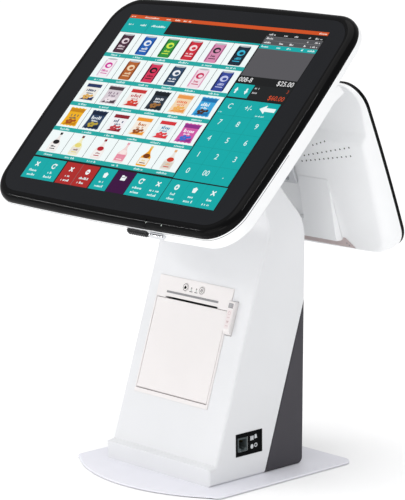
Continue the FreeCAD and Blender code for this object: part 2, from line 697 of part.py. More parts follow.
# The cradle: two side walls and a round trough for the paper roll.
cradle_half = "(paper_wide / 2 + 2)"
cradle = less(
    joined(rod("roll + 5", (f"paper_mid - {cradle_half} - 2", "roll_level", "-roll_deep"),
               f"2 * {cradle_half} + 4", "x"),
           box((f"paper_mid - {cradle_half} - 2", "lid_low + 9", "-roll_deep - 4"),
               (f"paper_mid + {cradle_half} + 2", "platen_level + 12", -9.6))),
    rod("roll + 3", (f"paper_mid - {cradle_half}", "roll_level", "-roll_deep"), f"2 * {cradle_half}", "x"),
    box((f"paper_mid - {cradle_half}", "roll_level - 34", "-roll_deep + 6"),
        (f"paper_mid + {cradle_half}", "platen_level + 20", 1)),
    box((f"paper_mid - {cradle_half} - 9", "platen_level - 11", -32),
        (f"paper_mid + {cradle_half} + 9", "platen_level + 20", 1)))
node("paper_cradle", cradle, FACE)
core_radius, core_bore = 6.5, 5.0


def along_roll(thick, beyond=0):
    """A cylinder on the paper roll's axis, as long as the paper is wide and a little more at each end."""
    return rod(thick, (f"paper_mid - paper_wide / 2 - {beyond}", "roll_level", "-roll_deep"),
               f"paper_wide + 2 * {beyond}", "x")


node("paper_roll", less(along_roll("roll"), along_roll(core_radius, 1)), FACE)
node("roll_core", less(along_roll(core_radius), along_roll(core_bore, 1)), FACE)

head_plate = joined(box(("paper_mid - 42", "platen_level - 6", "-platen_deep - 11.6"),
                        ("paper_mid + 42", "platen_level + 10", "-platen_deep - 8.6")),
                    box(("paper_mid - 40", "platen_level - 3", "-platen_deep - 8.6"),
                        ("paper_mid + 40", "platen_level + 3", "-platen_deep - 7.3")),
                    box(("paper_mid - 42", "platen_level + 7", "-platen_deep - 18"),
                        ("paper_mid + 42", "platen_level + 10", "-platen_deep - 11.6")))
node("thermal_head", head_plate, FACE)

def gear(teeth, across, up, deep, thick, turn=0.0):
    """A spur gear about an axis along x, with straight-sided teeth, its centre in the face's frame."""
    pitch = TOOTH * teeth / 2
    root, tip = pitch - 1.05 * TOOTH, pitch + 0.8 * TOOTH
    outline = []
    for number in range(teeth):
        middle = turn + 2 * math.pi * number / teeth
        for radius, share in ((root, -0.34), (tip, -0.125), (tip, 0.125), (root, 0.34)):
            angle = middle + share * 2 * math.pi / teeth
            outline.append(Vector(across, up + radius * math.sin(angle), deep + radius * math.cos(angle)))
    face = Part.Face(Part.makePolygon(outline + outline[:1]))
    return face.extrude(Vector(thick, 0, 0))


def shape_of(name, shape, place=WORLD):
    """A sub-part whose shape is worked out here instead of by sketches."""
    made = doc.addObject("Part::Feature", name)
    made.Shape = shape
    return node(name, made, place)


platen_up, platen_in = value("platen_level"), -value("platen_deep")
gear_side = value("paper_mid - paper_wide / 2") - 8.0
platen_gear = gear(PLATEN_TEETH, gear_side, platen_up, platen_in, 4.0)
gear_bore = Part.makeCylinder(2.0, 6, Vector(gear_side - 1, platen_up, platen_in), Vector(1, 0, 0))
doc.recompute()
shape_of("platen_gear", platen_gear.cut(gear_bore), FACE)
# A tooth of the platen gear points straight back, so the pinion shows it a gap.
pinion_turn = math.pi / PINION_TEETH
pinion = gear(PINION_TEETH, gear_side, platen_up, platen_in - mesh, 4.0, turn=pinion_turn)
pinion_bore = Part.makeCylinder(1.0, 6, Vector(gear_side - 1, platen_up, platen_in - mesh), Vector(1, 0, 0))
shape_of("motor_pinion", pinion.cut(pinion_bore), FACE)
pinion_deep = f"-platen_deep - {mesh}"
motor = joined(rod(10, (gear_side - 17, "platen_level", pinion_deep), 15, "x"),
               rod(4, (gear_side - 2, "platen_level", pinion_deep), 1.2, "x"),
               rod(0.95, (gear_side - 1, "platen_level", pinion_deep), 5.6, "x"))
node("feed_motor", motor, FACE)
platen_long = "paper_wide + 1"
rubber = less(rod("platen", ("paper_mid - 40.25", "platen_level", "-platen_deep"), platen_long, "x"),
              rod(2, ("paper_mid - 42", "platen_level", "-platen_deep"), "paper_wide + 6", "x"))
node("platen_roller", rubber, FACE)
axle = rod(2, (f"{gear_side}", "platen_level", "-platen_deep"), "paper_wide + 12", "x")
node("platen_axle", axle, FACE)

# The lid: a leaf with a barrel along its lower edge for the hinge pin, and two cheeks that carry the platen.
lid = new_body("lid")
lid_left, lid_right = "printer_left + 2.2", "printer_right - 3"
lid_outline = draw_box(sketch_on(lid, "proud - 2.6"), lid_left, "lid_low + barrel", lid_right, "lid_high")
lid_pad = pad(lid, lid_outline, 2.4)
fillet(lid, lid_pad, 0.8, lambda e: at_height("proud - 0.2")(e) and e.CenterOfMass.y > value("lid_low + 4"))
cheek_in, cheek_out = "paper_wide / 2 + 1.2", "paper_wide / 2 + 3.4"
for low, high in ((f"paper_mid - ({cheek_out})", f"paper_mid - ({cheek_in})"),
                  (f"paper_mid + {cheek_in}", f"paper_mid + {cheek_out}")):
    pad(lid, draw_box(sketch_on(lid, "proud - 2.6"), low, "platen_level - 7", high, "platen_level + 7"), 13.6,
        down=True)
lid_long = f"{lid_right} - ({lid_left})"
barrel = rod("barrel", (lid_left, "lid_low + barrel", "proud - 0.2 - barrel"), lid_long, "x")
axle_bore = rod("2 + run", ("paper_mid - 60", "platen_level", "-platen_deep"), 120, "x")
printer_lid = less(joined(lid, barrel), axle_bore, rod("1.2 + run", hinge_axis, hinge_long, "x"))
node("printer_lid", printer_lid, FACE)

# The lever that frees the lid: a bar whose lower end is round about its pin.
lever = new_body("lever")
lever_pad = pad(lever, draw_box(sketch_on(lever, -4), "lever_left", "lever_low + lever_end", "lever_right",
                                "lever_high"), 9.5)
fillet(lever, lever_pad, 1.2, lambda e: at_height(5.5)(e) and e.CenterOfMass.y > value("lever_low + 9"))
lever_round = rod("lever_end", ("lever_left", "lever_low + lever_end", "-lever_deep"),
                  "lever_right - lever_left", "x")
lid_lever = less(joined(lever, lever_round),
                 rod("1.1 + run", lever_axis, "lever_right - lever_left + 2.4", "x"))
node("lid_lever", lid_lever, FACE)
node("lever_pin", rod(1.1, lever_axis, "lever_right - lever_left + 2.4", "x"), FACE)

# ---------------------------------------------------------------- main display, in its own frame
glass = new_body("glass")
pad(glass, glass_outline(sketch_on(glass, "-glass_thick")), "glass_thick")
node("touch_glass", glass, DISPLAY)

rim = new_body("rim")
rim_pad = pad(rim, display_outline(sketch_on(rim, "-rim_deep")), "rim_deep")
fillet(rim, rim_pad, "rim_roll", at_height(0))
pocket(rim, glass_outline(sketch_on(rim, 0), grow=0.2), "glass_thick + 0.05")
screen_window = draw_box(sketch_on(rim, 0), "-screen_half - 2", "-screen_tall - 2", "screen_half + 2",
                         "screen_tall + 2")
pocket(rim, screen_window)
pocket(rim, display_outline(sketch_on(rim, "-rim_deep"), inset=10.5), "rim_deep - glass_thick - 1.4", up=True)
LAMPS = (72.0, 95.0)
lamp_holes = sketch_on(rim, 0)
for x in LAMPS:
    draw_box(lamp_holes, x - 0.6, "-display_tall + 3.5", x + 0.6, "-display_tall + 7.5")
pocket(rim, lamp_holes)
node("display_bezel", rim, DISPLAY)
lamp_pipes = [box((x - 0.5, "-display_tall + 3.6", -8.8), (x + 0.5, "-display_tall + 7.4", -1.2)) for x in LAMPS]
node("display_lamps", group(*lamp_pipes), DISPLAY)

switch_x, switch_deep, switch_spread = 82.0, 14.6, 8.2
PORT_X0, PORT_X1 = 38.0, 68.0


def switch_bar(radius, low, length):
    """A bar with round ends along the display's lower edge: the power key, or the hole for it."""
    left, right = switch_x - switch_spread, switch_x + switch_spread
    ends = [rod(radius, (x, low, -switch_deep), length, "y") for x in (left, right)]
    middle = box((left, low, f"-{switch_deep} - {radius}"),
                 (right, f"({low}) + {length}", f"{radius} - {switch_deep}"))
    return joined(*ends, middle)


switch_hole = switch_bar(3.2, "-display_tall - 20", 36)
port_hole = box((PORT_X0, "-display_tall - 20", -18.5), (PORT_X1, "-display_tall + 12", -11.6))
thin = new_body("thin_cover")
thin_pad = pad(thin, display_outline(sketch_on(thin, "-cover_deep")), "cover_deep - rim_deep")
fillet(thin, thin_pad, 2.5, at_height("-cover_deep"))
pocket(thin, display_outline(sketch_on(thin, "-rim_deep"), inset=2.5), "cover_deep - rim_deep - 2")
# The cover and the housing part along a line that slants back towards the housing's flared top.
split_line = draw(free_sketch("SplitLine", SIDEWAYS),
                  (-180, "-housing_start"), ("housing_flare", "-housing_start"),
                  ("housing_top", "-cover_deep"), ("housing_top", -BIG), (-180, -BIG))
cover_step = extruded(display_outline(free_sketch("CoverStep"), inset=3.2), 60)
rebate = less(extruded(split_line, BIG + 50), cover_step)
cable_hole = box((-30, -60, "-cover_deep - 2"), (30, -30, "-rim_deep"))
node("display_cover", less(thin, rebate, cable_hole, switch_hole, port_hole), DISPLAY)

module_half, module_tall = "screen_half + 11", "screen_tall + 11.5"
lcd = joined(box((f"-({module_half})", f"-({module_tall})", -13.6), (module_half, module_tall, -5.4)),
             box(("-screen_half", "-screen_tall", -5.4), ("screen_half", "screen_tall", -2.15)))
node("lcd_panel", lcd, DISPLAY)
def about_module(side, end, low, high):
    """A box about the panel's module, larger than it by those amounts at the sides and at the ends."""
    return box((f"-({module_half}) - {side}", f"-({module_tall}) - {end}", low),
               (f"{module_half} + {side}", f"{module_tall} + {end}", high))


lcd_frame = less(about_module(6, 3, -14.9, -9), about_module(0.1, 0.1, -13.7, -8),
                 box((-120, -85, -16), (120, 85, -8)))
node("lcd_frame", lcd_frame, DISPLAY)

# The computer housing: straight sides, then a wide slope to the flat back, ending below the top of the screen.
def housing_solid(name, inset, start, deep):
    body = new_body(name)
    pad(body, display_outline(sketch_on(body, "-housing_side"), inset), f"housing_side - ({start})")
    loft(body, display_outline(sketch_on(body, "-housing_side"), inset),
         display_outline(sketch_on(body, f"-({deep})"), f"(housing_inset + {inset})"))
    return body


housing_wall = 3.0
housing_out = housing_solid("housing_out", 0, "housing_start", "housing_deep")
housing_in = housing_solid("housing_in", housing_wall, "housing_start - 1", "housing_deep - skin")
top_bevel = free_sketch("HousingTop", SIDEWAYS)
draw(top_bevel, ("housing_flare", 0), ("housing_flare", "-housing_start"), ("housing_top", "-cover_deep"),
     ("housing_top + 1", -28), ("housing_top - 22", -49), (-BIG, -49), (-BIG, 0))
flare_side = free_sketch("Flare", SIDEWAYS)
draw(flare_side, ("housing_flare", "-housing_start"), ("housing_top", "-cover_deep"), ("housing_top + 1", -28),
     ("housing_flare", "-housing_side"))
flare = shared(extruded(flare_side, BIG), extruded(display_outline(free_sketch("FlareOutline")), 80))
top_inner = free_sketch("HousingTopInner", SIDEWAYS)
draw(top_inner, ("housing_top + 60", 1), ("housing_top + 60", "-cover_deep - 0.1"),
     ("housing_top - 3", "-cover_deep - 0.1"), ("housing_top - 3", -27.4), ("housing_top - 26", -48.4),
     (-BIG, -48.4), (-BIG, 1))
vents = [box((x - 1.1, y - 13, -60), (x + 1.1, y + 13, -30)) for x in range(-120, -63, 7) for y in (-30,)]
vents += [box((x - 1.1, y - 13, -60), (x + 1.1, y + 13, -30)) for x in range(64, 121, 7) for y in (-30,)]
BRACKET_SCREWS = [(x, y) for x in (-37.5, 37.5) for y in (-50, 25)]
screw_holes = [rod("screw + 0.05", (x, y, -60), 30) for x, y in BRACKET_SCREWS]
housing = less(joined(shared(housing_out, extruded(top_bevel, BIG + 100)), flare),
               shared(housing_in, extruded(top_inner, BIG + 100)),
               *vents, *screw_holes, switch_hole, port_hole)
node("computer_housing", housing, DISPLAY)

board = joined(box((-80, -100, -21.6), (80, 20, -20)), box((-75, -96, -31), (-30, -80, -21.6)),
               box((-20, -96, -29), (10, -80, -21.6)), box((20, -96, -34), (60, -78, -21.6)),
               box((-70, -10, -26), (62, -3, -21.6)), box((-70, 2, -26), (62, 9, -21.6)),
               box((-66, -60, -24), (-40, -34, -21.6)),
               *[rod(3, (x, y, -21.7), 4.7) for x in (-74, 74) for y in (-70, 14)])
node("mainboard", board, DISPLAY)
fins = [box((x, -66, -36), (x + 1.2, -22, -26)) for x in range(-22, 43, 4)]
node("heat_sink", joined(box((-24, -68, -26.2), (46, -20, -21.6)), *fins), DISPLAY)
node("drive", box((86, -60, -27), (136, 20, -20)), DISPLAY)
speakers = [joined(rod(14, (x, -98, -27), 7), rod(9, (x, -98, -32), 6)) for x in (-120, 120)]
node("speakers", group(*speakers), DISPLAY)

RIBS = 8
rib_pitch = (PORT_X1 - PORT_X0 - 2.2) / RIBS
ribs = [box((PORT_X0 + 1.5 + rib_pitch * n, "-display_tall - 3.4", -17.5),
            (PORT_X0 + 3.3 + rib_pitch * n, "-display_tall - 2.1", -12.6)) for n in range(RIBS)]
port_body = box((PORT_X0 + 0.4, "-display_tall - 2.2", -18), (PORT_X1 - 0.4, "-display_tall + 11", -12))
node("port_block", joined(port_body, *ribs), DISPLAY)
key_reach = "-display_tall - 3.4"
doc.recompute()
power_key = rounded(switch_bar(2.9, key_reach, 9),
                    lambda e: 0.8 if e.BoundBox.YMax < value(key_reach) + 0.01 else None)
power_stem = rod(1.6, (switch_x, f"{key_reach} + 8.9", -switch_deep), 5, "y")
node("display_power_button", joined(power_key, power_stem), DISPLAY)

# The tilt bracket: a plate on the housing's back with two ears about the shaft, and washers beside the ears.
def ear_profile(low, high):
    """An ear in the display's frame: from the bracket's plate to a round end about the tilt shaft."""
    outline = draw(free_sketch("DisplayEar", SIDEWAYS),
                   ("hinge_up + ear + 3", "-housing_deep - 0.1"),
                   ("hinge_up + ear", "-hinge_deep"),
                   ("hinge_up", "-hinge_deep - ear", "hinge_up - ear", "-hinge_deep"),
                   ("hinge_up - ear - 3", "-housing_deep - 0.1"))
    flat = extruded(outline, high - low, both=False)
    flat.Placement = Placement(Vector(low, 0, 0), Rotation()).multiply(flat.Placement)
    return flat


bracket_plate = box((-50, -60, "-housing_deep - 2.5"), (50, 35, "-housing_deep"))
bracket = less(joined(bracket_plate, ear_profile(ear_in, ear_out), ear_profile(-ear_out, -ear_in)),
               rod("shaft + run", (-60, "hinge_up", "-hinge_deep"), 120, "x"),
               *[rod("screw + 0.1", (x, y, -60), 20) for x, y in BRACKET_SCREWS])
node("display_bracket", bracket, DISPLAY)
node("bracket_screws", group(*[screw(x, y, "-housing_deep - 3.5", 9) for x, y in BRACKET_SCREWS]), DISPLAY)
washers = [less(rod(9, (x, "hinge_up", "-hinge_deep"), 1.9, "x"),
                rod("shaft", (x - 1, "hinge_up", "-hinge_deep"), 4, "x")) for x in (47.55, -49.45)]
node("friction_washers", group(*washers), DISPLAY)

# ---------------------------------------------------------------- customer display, in its own frame
pane = new_body("customer_pane")
pane_outline = draw_bowed(sketch_on(pane, -1.6), "customer_half - 4", "customer_tall - 4",
                          "customer_corner - 4", "customer_bow - 0.5", "customer_bow - 0.5")
pad(pane, pane_outline, 1.6)
node("customer_glass", pane, CUSTOMER)
edge = new_body("customer_edge")
edge_pad = pad(edge, customer_outline(sketch_on(edge, "-customer_rim")), "customer_rim")
fillet(edge, edge_pad, 1.5, at_height(0))
recess = draw_bowed(sketch_on(edge, 0), "customer_half - 3.8", "customer_tall - 3.8", "customer_corner - 3.8",
                    "customer_bow - 0.5", "customer_bow - 0.5")
pocket(edge, recess, 1.65)
pocket(edge, draw_box(sketch_on(edge, 0), -130, -74, 130, 74))
node("customer_bezel", edge, CUSTOMER)
customer_lcd = joined(box((-134, -79, -8.0), (134, 79, -5.4)),
                      box((-128.2, -72.1, -5.4), (128.2, 72.1, -1.75)))
node("customer_lcd", customer_lcd, CUSTOMER)
node("customer_board", joined(box((-60, -50, -14), (60, 10, -12.4)), box((-20, -30, -16.4), (0, -10, -14)),
                              box((24, -48, -18), (40, -36, -14))), CUSTOMER)


def customer_hull(name, inset):
    """The shell's sides: steep at first, then a wide shoulder, with a tighter corner towards the back."""
    body = new_body(name)
    shoulder = draw_bowed(sketch_on(body, f"-17 + {inset}"), f"customer_half - {inset} - 3",
                          f"customer_tall - {inset} - 2.4", f"customer_corner - {inset} - 8",
                          "customer_bow", "customer_bow")
    back = draw_bowed(sketch_on(body, "-customer_deep - 2"), f"customer_half - {inset} - 18",
                      f"customer_tall - {inset} - 7", f"customer_corner - {inset} - 10",
                      "customer_bow", "customer_bow")
    loft(body, customer_outline(sketch_on(body, "-customer_rim"), inset), shoulder, back)
    return body


def customer_side(name, inset, front):
    """The shell seen from the side: thin at the top, a slope to the ridge, then a gentle slope to the foot."""
    return draw(free_sketch(name, SIDEWAYS),
                ("customer_tall + 5", front), ("customer_tall + 5", f"-9.4 + {inset}"),
                ("customer_tall - 6", f"-10 + {inset}"), ("customer_ridge", f"-18.5 + {inset}"),
                ("customer_ridge - 8", f"-21.5 + {inset}"),
                ("-customer_tall + 10", f"-customer_deep + {inset}"),
                ("-customer_tall - 5", f"-customer_deep + 0.5 + {inset}"), ("-customer_tall - 5", front))


hump_profile = draw(free_sketch("Hump", SIDEWAYS), (20, -10), ("customer_ridge - 58", -24.2),
                    ("-customer_tall + 25", "-customer_deep - customer_hump"),
                    ("-customer_tall + 19", "-customer_deep - customer_hump"),
                    ("-customer_tall + 16.5", "-customer_deep - 2"), ("-customer_tall + 16.5", -10))
hump_outer = extruded(hump_profile, 158)
shell_outer = shared(customer_hull("customer_out", 0), extruded(customer_side("CustomerSide", 0, 0), BIG))
inner_side = extruded(customer_side("CustomerSideIn", "skin", 1), BIG)
shell_inner = shared(customer_hull("customer_in", "skin"), inner_side)
cover_gap = less(hump_outer, shell_outer)
# Rows of small round vents, in both halves: the number of holes, and the first and last hole's places.
VENT_ROWS = [(4, 69.4, 27.9, 88.8, 34.3), (11, 52.2, 13.8, 123.3, 30.8), (12, 46.4, 6.5, 122.7, 20.9)]
vent_dots = []
for count, x0, y0, x1, y1 in VENT_ROWS:
    for n in range(count):
        along_row = n / (count - 1)
        for side in (-1, 1):
            spot = (side * (x0 + (x1 - x0) * along_row), y0 + (y1 - y0) * along_row, -40)
            vent_dots.append(rod(1.0, spot, 32))
customer_screws = [(x, y) for x in (-20, 20) for y in (-14, 30)]
screw_bores = [rod("screw + 0.05", (x, y, -60), 50) for x, y in customer_screws]
node("customer_shell", less(shell_outer, shell_inner, *vent_dots, *screw_bores), CUSTOMER)
doc.recompute()
cable_cover = less(cover_gap, box((-34, -60, -60), (34, 60, -20)))
node("cable_cover", cable_cover, CUSTOMER)

plate_deep = 25.2
customer_plate = box((-32.5, -20, -plate_deep - 3), (32.5, 36, -plate_deep))


def customer_ear(low, high):
    outline = draw(free_sketch("CustomerEar", SIDEWAYS),
                   ("arm_up + arm_radius + 4", -plate_deep - 0.1),
                   ("arm_up + arm_radius", "-arm_deep"),
                   ("arm_up", "-arm_deep - arm_radius", "arm_up - arm_radius", "-arm_deep"),
                   ("arm_up - arm_radius - 4", -plate_deep - 0.1))
    flat = extruded(outline, high - low, both=False)
    flat.Placement = Placement(Vector(low, 0, 0), Rotation()).multiply(flat.Placement)
    return flat


customer_bracket = less(joined(customer_plate, customer_ear(26, 29), customer_ear(-29, -26)),
                        rod("arm_shaft + run", (-40, "arm_up", "-arm_deep"), 80, "x"),
                        *[rod("screw + 0.1", (x, y, -60), 50) for x, y in customer_screws])
node("customer_bracket", customer_bracket, CUSTOMER)
node("customer_screws", group(*[screw(x, y, -plate_deep - 4.1, 9) for x, y in customer_screws]), CUSTOMER)

arm_pivot = CUSTOMER.multVec(Vector(0, value("arm_up"), -value("arm_deep")))
arm_y, arm_z = round(arm_pivot.y, 3), round(arm_pivot.z, 3)
arm_slope = math.radians(31.8)
along, across = (math.cos(arm_slope), math.sin(arm_slope)), (-math.sin(arm_slope), math.cos(arm_slope))
radius = value("arm_radius") - 0.5


def arm_point(back, up):
    return (round(arm_y - back * along[0] + up * across[0], 3),
            round(arm_z - back * along[1] + up * across[1], 3))


arm_sketch = draw(free_sketch("Arm", SIDEWAYS), arm_point(0, radius),
                  (*arm_point(-radius, 0), *arm_point(0, -radius)),
                  arm_point(44, -radius), (40, 276), (40, 246), (34, 246), (34, 270), arm_point(54, radius))
arm = less(extruded(arm_sketch, "2 * arm_half"), rod("arm_shaft", (-40, arm_y, arm_z), 80, "x"))
node("customer_arm", arm)
node("customer_shaft", rod("arm_shaft", (-31, arm_y, arm_z), 62, "x"))

# ---------------------------------------------------------------- check and write
doc.recompute()
failed = [f"{t.Name} ({t.Label})" for t in doc.Objects if {"Invalid", "Error"} & set(t.State)]
if failed:
    raise RuntimeError("failed: " + ", ".join(failed))
for name, thing in nodes.items():
    if thing.Shape.isNull() or not thing.Shape.isValid() or not thing.Shape.Solids:
        raise RuntimeError(f"{name} has no valid solid")
    thing.Shape.exportStep(f"parts/{name}.step")
print(len(nodes), "sub-parts written")
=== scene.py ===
"""The looks of a point-of-sale touchscreen terminal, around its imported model, in metres in its frame."""
import json
import math
import random

import bmesh
import bpy
from mathutils import Matrix, Vector


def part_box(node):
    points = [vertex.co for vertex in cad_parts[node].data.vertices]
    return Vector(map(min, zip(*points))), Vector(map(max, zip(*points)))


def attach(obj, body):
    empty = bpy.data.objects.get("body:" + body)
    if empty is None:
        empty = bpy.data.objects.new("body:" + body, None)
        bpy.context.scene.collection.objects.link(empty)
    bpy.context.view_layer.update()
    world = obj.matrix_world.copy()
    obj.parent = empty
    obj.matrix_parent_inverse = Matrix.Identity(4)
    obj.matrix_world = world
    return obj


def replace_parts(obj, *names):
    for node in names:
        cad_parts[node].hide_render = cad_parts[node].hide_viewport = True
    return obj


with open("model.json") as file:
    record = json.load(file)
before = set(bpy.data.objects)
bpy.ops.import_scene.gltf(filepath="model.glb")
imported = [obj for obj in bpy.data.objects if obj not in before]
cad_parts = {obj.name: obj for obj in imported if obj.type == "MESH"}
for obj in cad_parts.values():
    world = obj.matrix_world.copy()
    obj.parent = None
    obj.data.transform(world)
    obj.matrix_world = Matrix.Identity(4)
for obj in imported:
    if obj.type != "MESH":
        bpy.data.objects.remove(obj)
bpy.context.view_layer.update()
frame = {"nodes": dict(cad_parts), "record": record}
nodes = frame["nodes"]
scene = bpy.context.scene
MM = 0.001


def give(thing, **settings):
    """The thing, with attributes set by name."""
    for key, amount in settings.items():
        setattr(thing, key, amount)
    return thing


def add(name, data):
    made = bpy.data.objects.new(name, data)
    scene.collection.objects.link(made)
    return made


# ---------------------------------------------------------------- camera and light
CAMERA_SPOT, AZIMUTH, ELEVATION, ROLL = (1.8156, -1.6636, 0.7036), 47.51, 10.8, -0.46
LENS = 169.8
ROOM_COLOUR, ROOM_STRENGTH = (0.985, 0.99, 1.0, 1), 0.70
LAMP_AIM, LAMP_DISTANCE = Vector((0, 0, 0.25)), 2.2


def view_axes(azimuth, elevation, roll):
    """A camera's axes. It looks along +Y at azimuth 0, from above the horizon, rolled about its own axis."""
    a, e, r = (math.radians(angle) for angle in (azimuth, elevation, roll))
    forward = Vector((-math.sin(a) * math.cos(e), math.cos(a) * math.cos(e), -math.sin(e)))
    right = Vector((math.cos(a), math.sin(a), 0))
    up = right.cross(forward)
    right, up = right * math.cos(r) + up * math.sin(r), up * math.cos(r) - right * math.sin(r)
    return Matrix((right, up, -forward)).transposed().to_4x4()


camera = add("camera", give(bpy.data.cameras.new("camera"), lens=LENS, clip_start=0.1, clip_end=60))
camera.matrix_world = Matrix.Translation(CAMERA_SPOT) @ view_axes(AZIMUTH, ELEVATION, ROLL)
scene.camera = camera
scene.view_settings.view_transform = "Standard"

scene.world = give(bpy.data.worlds.new("studio"), use_nodes=True)
room = scene.world.node_tree.nodes["Background"].inputs
room["Color"].default_value, room["Strength"].default_value = ROOM_COLOUR, ROOM_STRENGTH


def lamp(name, kind, energy, direction, **settings):
    """A light that shines along a direction. An area light stands back from the object against it."""
    way = Vector(direction).normalized()
    made = add(name, give(bpy.data.lights.new(name, kind), energy=energy, **settings))
    give(made, rotation_mode="QUATERNION", rotation_quaternion=way.to_track_quat("-Z", "Y"),
         location=LAMP_AIM - way * LAMP_DISTANCE)


lamp("overhead", "SUN", 1.35, (0.08, 0.10, -1.0), angle=math.radians(70), color=(1.0, 0.99, 0.98))
lamp("front_softbox", "AREA", 6.0, (0.15, 1.0, -0.1), size=1.4, color=(1.0, 0.975, 0.955))
lamp("low_fill", "AREA", 4.5, (-0.4, 1.0, 0.1), size=0.8, color=(1.0, 0.985, 0.97))
lamp("right_strip", "AREA", 4.0, (-0.60, 0.28, -0.745), size=0.03, size_y=0.7, shape="RECTANGLE")
lamp("left_strip", "AREA", 5.0, (0.72, 0.61, -0.32), size=0.7, size_y=0.03, shape="RECTANGLE")


# ---------------------------------------------------------------- materials
def linear(code):
    """A colour written as six hexadecimal digits, as linear red, green, blue and alpha."""
    parts = [int(code[i:i + 2], 16) / 255 for i in (0, 2, 4)]
    return tuple(c / 12.92 if c <= 0.04045 else ((c + 0.055) / 1.055) ** 2.4 for c in parts) + (1.0,)


class Tree:
    """A material's nodes, added and linked in short calls."""

    def __init__(self, name):
        self.material = give(bpy.data.materials.new(name), use_nodes=True)
        self.nodes = self.material.node_tree.nodes
        self.shader = self.nodes["Principled BSDF"]
        self.place = self.add("ShaderNodeTexCoord").outputs["Object"]

    def add(self, kind, **settings):
        return give(self.nodes.new(kind), **settings)

    def link(self, source, target):
        self.material.node_tree.links.new(source, target)

    def paint(self, colour):
        self.link(colour, self.shader.inputs["Base Color"])

    def fix(self, **amounts):
        """Sets plain numbers on the shader's own sockets, with an underscore for each space."""
        for key, amount in amounts.items():
            self.shader.inputs[key.replace("_", " ")].default_value = amount

    def scaled(self, scale):
        mapping = self.add("ShaderNodeMapping")
        mapping.inputs["Scale"].default_value = scale
        self.link(self.place, mapping.inputs["Vector"])
        return mapping.outputs["Vector"]

    def step(self, kind, operation, source, amount=None, result="Value"):
        """One step of arithmetic on a number or a vector."""
        made = self.add(kind, operation=operation)
        self.link(source, made.inputs[0])
        if amount is not None:
            made.inputs[1].default_value = amount
        return made.outputs[result]

    def noise(self, size, detail=3.0, stretch=(1, 1, 1)):
        """Smooth noise with features about that many metres across, longer where stretch is above one."""
        made = self.add("ShaderNodeTexNoise")
        made.inputs["Scale"].default_value = 1.0
        made.inputs["Detail"].default_value = detail
        self.link(self.scaled([1 / (size * s) for s in stretch]), made.inputs["Vector"])
        return made.outputs["Fac"]

    def between(self, fac, low, high, start=0.3, end=0.7):
        """A number that runs from low to high as the factor goes from start to end."""
        made = self.add("ShaderNodeMapRange")
        for key, amount in zip(("From Min", "From Max", "To Min", "To Max"), (start, end, low, high)):
            made.inputs[key].default_value = amount
        self.link(fac, made.inputs["Value"])
        return made.outputs["Result"]

    def colours(self, fac, *stops):
        """A colour ramp through (position, colour) stops."""
        made = self.add("ShaderNodeValToRGB")
        ramp = made.color_ramp
        while len(ramp.elements) < len(stops):
            ramp.elements.new(0.5)
        for element, (position, colour) in zip(ramp.elements, stops):
            element.position, element.color = position, colour
        self.link(fac, made.inputs["Fac"])
        return made.outputs["Color"]

    def bump(self, height, depth):
        made = self.add("ShaderNodeBump")
        made.inputs["Strength"].default_value = 1.0
        made.inputs["Distance"].default_value = depth
        self.link(height, made.inputs["Height"])
        self.link(made.outputs["Normal"], self.shader.inputs["Normal"])


    def mottled(self, fac, colour, share, spread):
        """That share of a colour, varied by the spread either way."""
        stops = [(position, tuple(min(1.0, c * share * (1 + vary)) for c in colour[:3]) + (1.0,))
                 for position, vary in ((0.3, -spread), (0.7, spread))]
        return self.colours(fac, *stops)


PATCH, UNEVEN_GLOSS = 0.04, 0.12


def surface(name, code, rough, metal=0.0, coat=0.0, specular=0.5, mottle=0.02, grain=0.0006, depth=4e-6,
            stretch=(1, 1, 1)):
    """A moulded or milled surface: slow colour mottling, uneven gloss and a fine grain in relief."""
    tree = Tree(name)
    fine = tree.noise(grain, detail=2.0, stretch=stretch)
    tree.paint(tree.mottled(tree.noise(PATCH, stretch=stretch), linear(code), 1.0, mottle))
    gloss = tree.between(fine, rough * (1 - UNEVEN_GLOSS), min(1.0, rough * (1 + UNEVEN_GLOSS)))
    tree.link(gloss, tree.shader.inputs["Roughness"])
    tree.bump(fine, depth)
    tree.fix(Metallic=metal, Coat_Weight=coat, Coat_Roughness=0.04, Specular_IOR_Level=specular)
    return tree.material


GLOW, LIT_BY_ROOM, PIXEL, PIXEL_CONTRAST = 0.78, 0.14, 0.0004, 0.03


def lit(name, code):
    """A patch of a lit screen behind glass: its own light, a little of the room's, a trace of its dots."""
    tree = Tree(name)
    grid = tree.noise(PIXEL, detail=0.0)
    tree.paint(tree.mottled(grid, linear(code), LIT_BY_ROOM, PIXEL_CONTRAST))
    tree.link(tree.mottled(grid, linear(code), 1.0, PIXEL_CONTRAST), tree.shader.inputs["Emission Color"])
    tree.fix(Emission_Strength=GLOW, Roughness=0.12, Specular_IOR_Level=0.06)
    return tree.material


def circuit(name):
    """A green circuit board with copper tracks and darker component patches."""
    tree = Tree(name)
    cell = tree.add("ShaderNodeTexVoronoi", distance="MANHATTAN")
    tree.link(tree.scaled((160, 160, 160)), cell.inputs["Vector"])
    tree.paint(tree.colours(cell.outputs["Distance"], (0.0, linear("b9a35a")), (0.08, linear("0d3b22")),
                            (0.55, linear("11502c")), (1.0, linear("0b2e1b"))))
    tree.bump(cell.outputs["Distance"], 6e-5)
    tree.fix(Roughness=0.42)
    return tree.material


# Radians a metre, which is a ring every 0.7 mm, wide enough to be seen.
WINDING = 9000.0


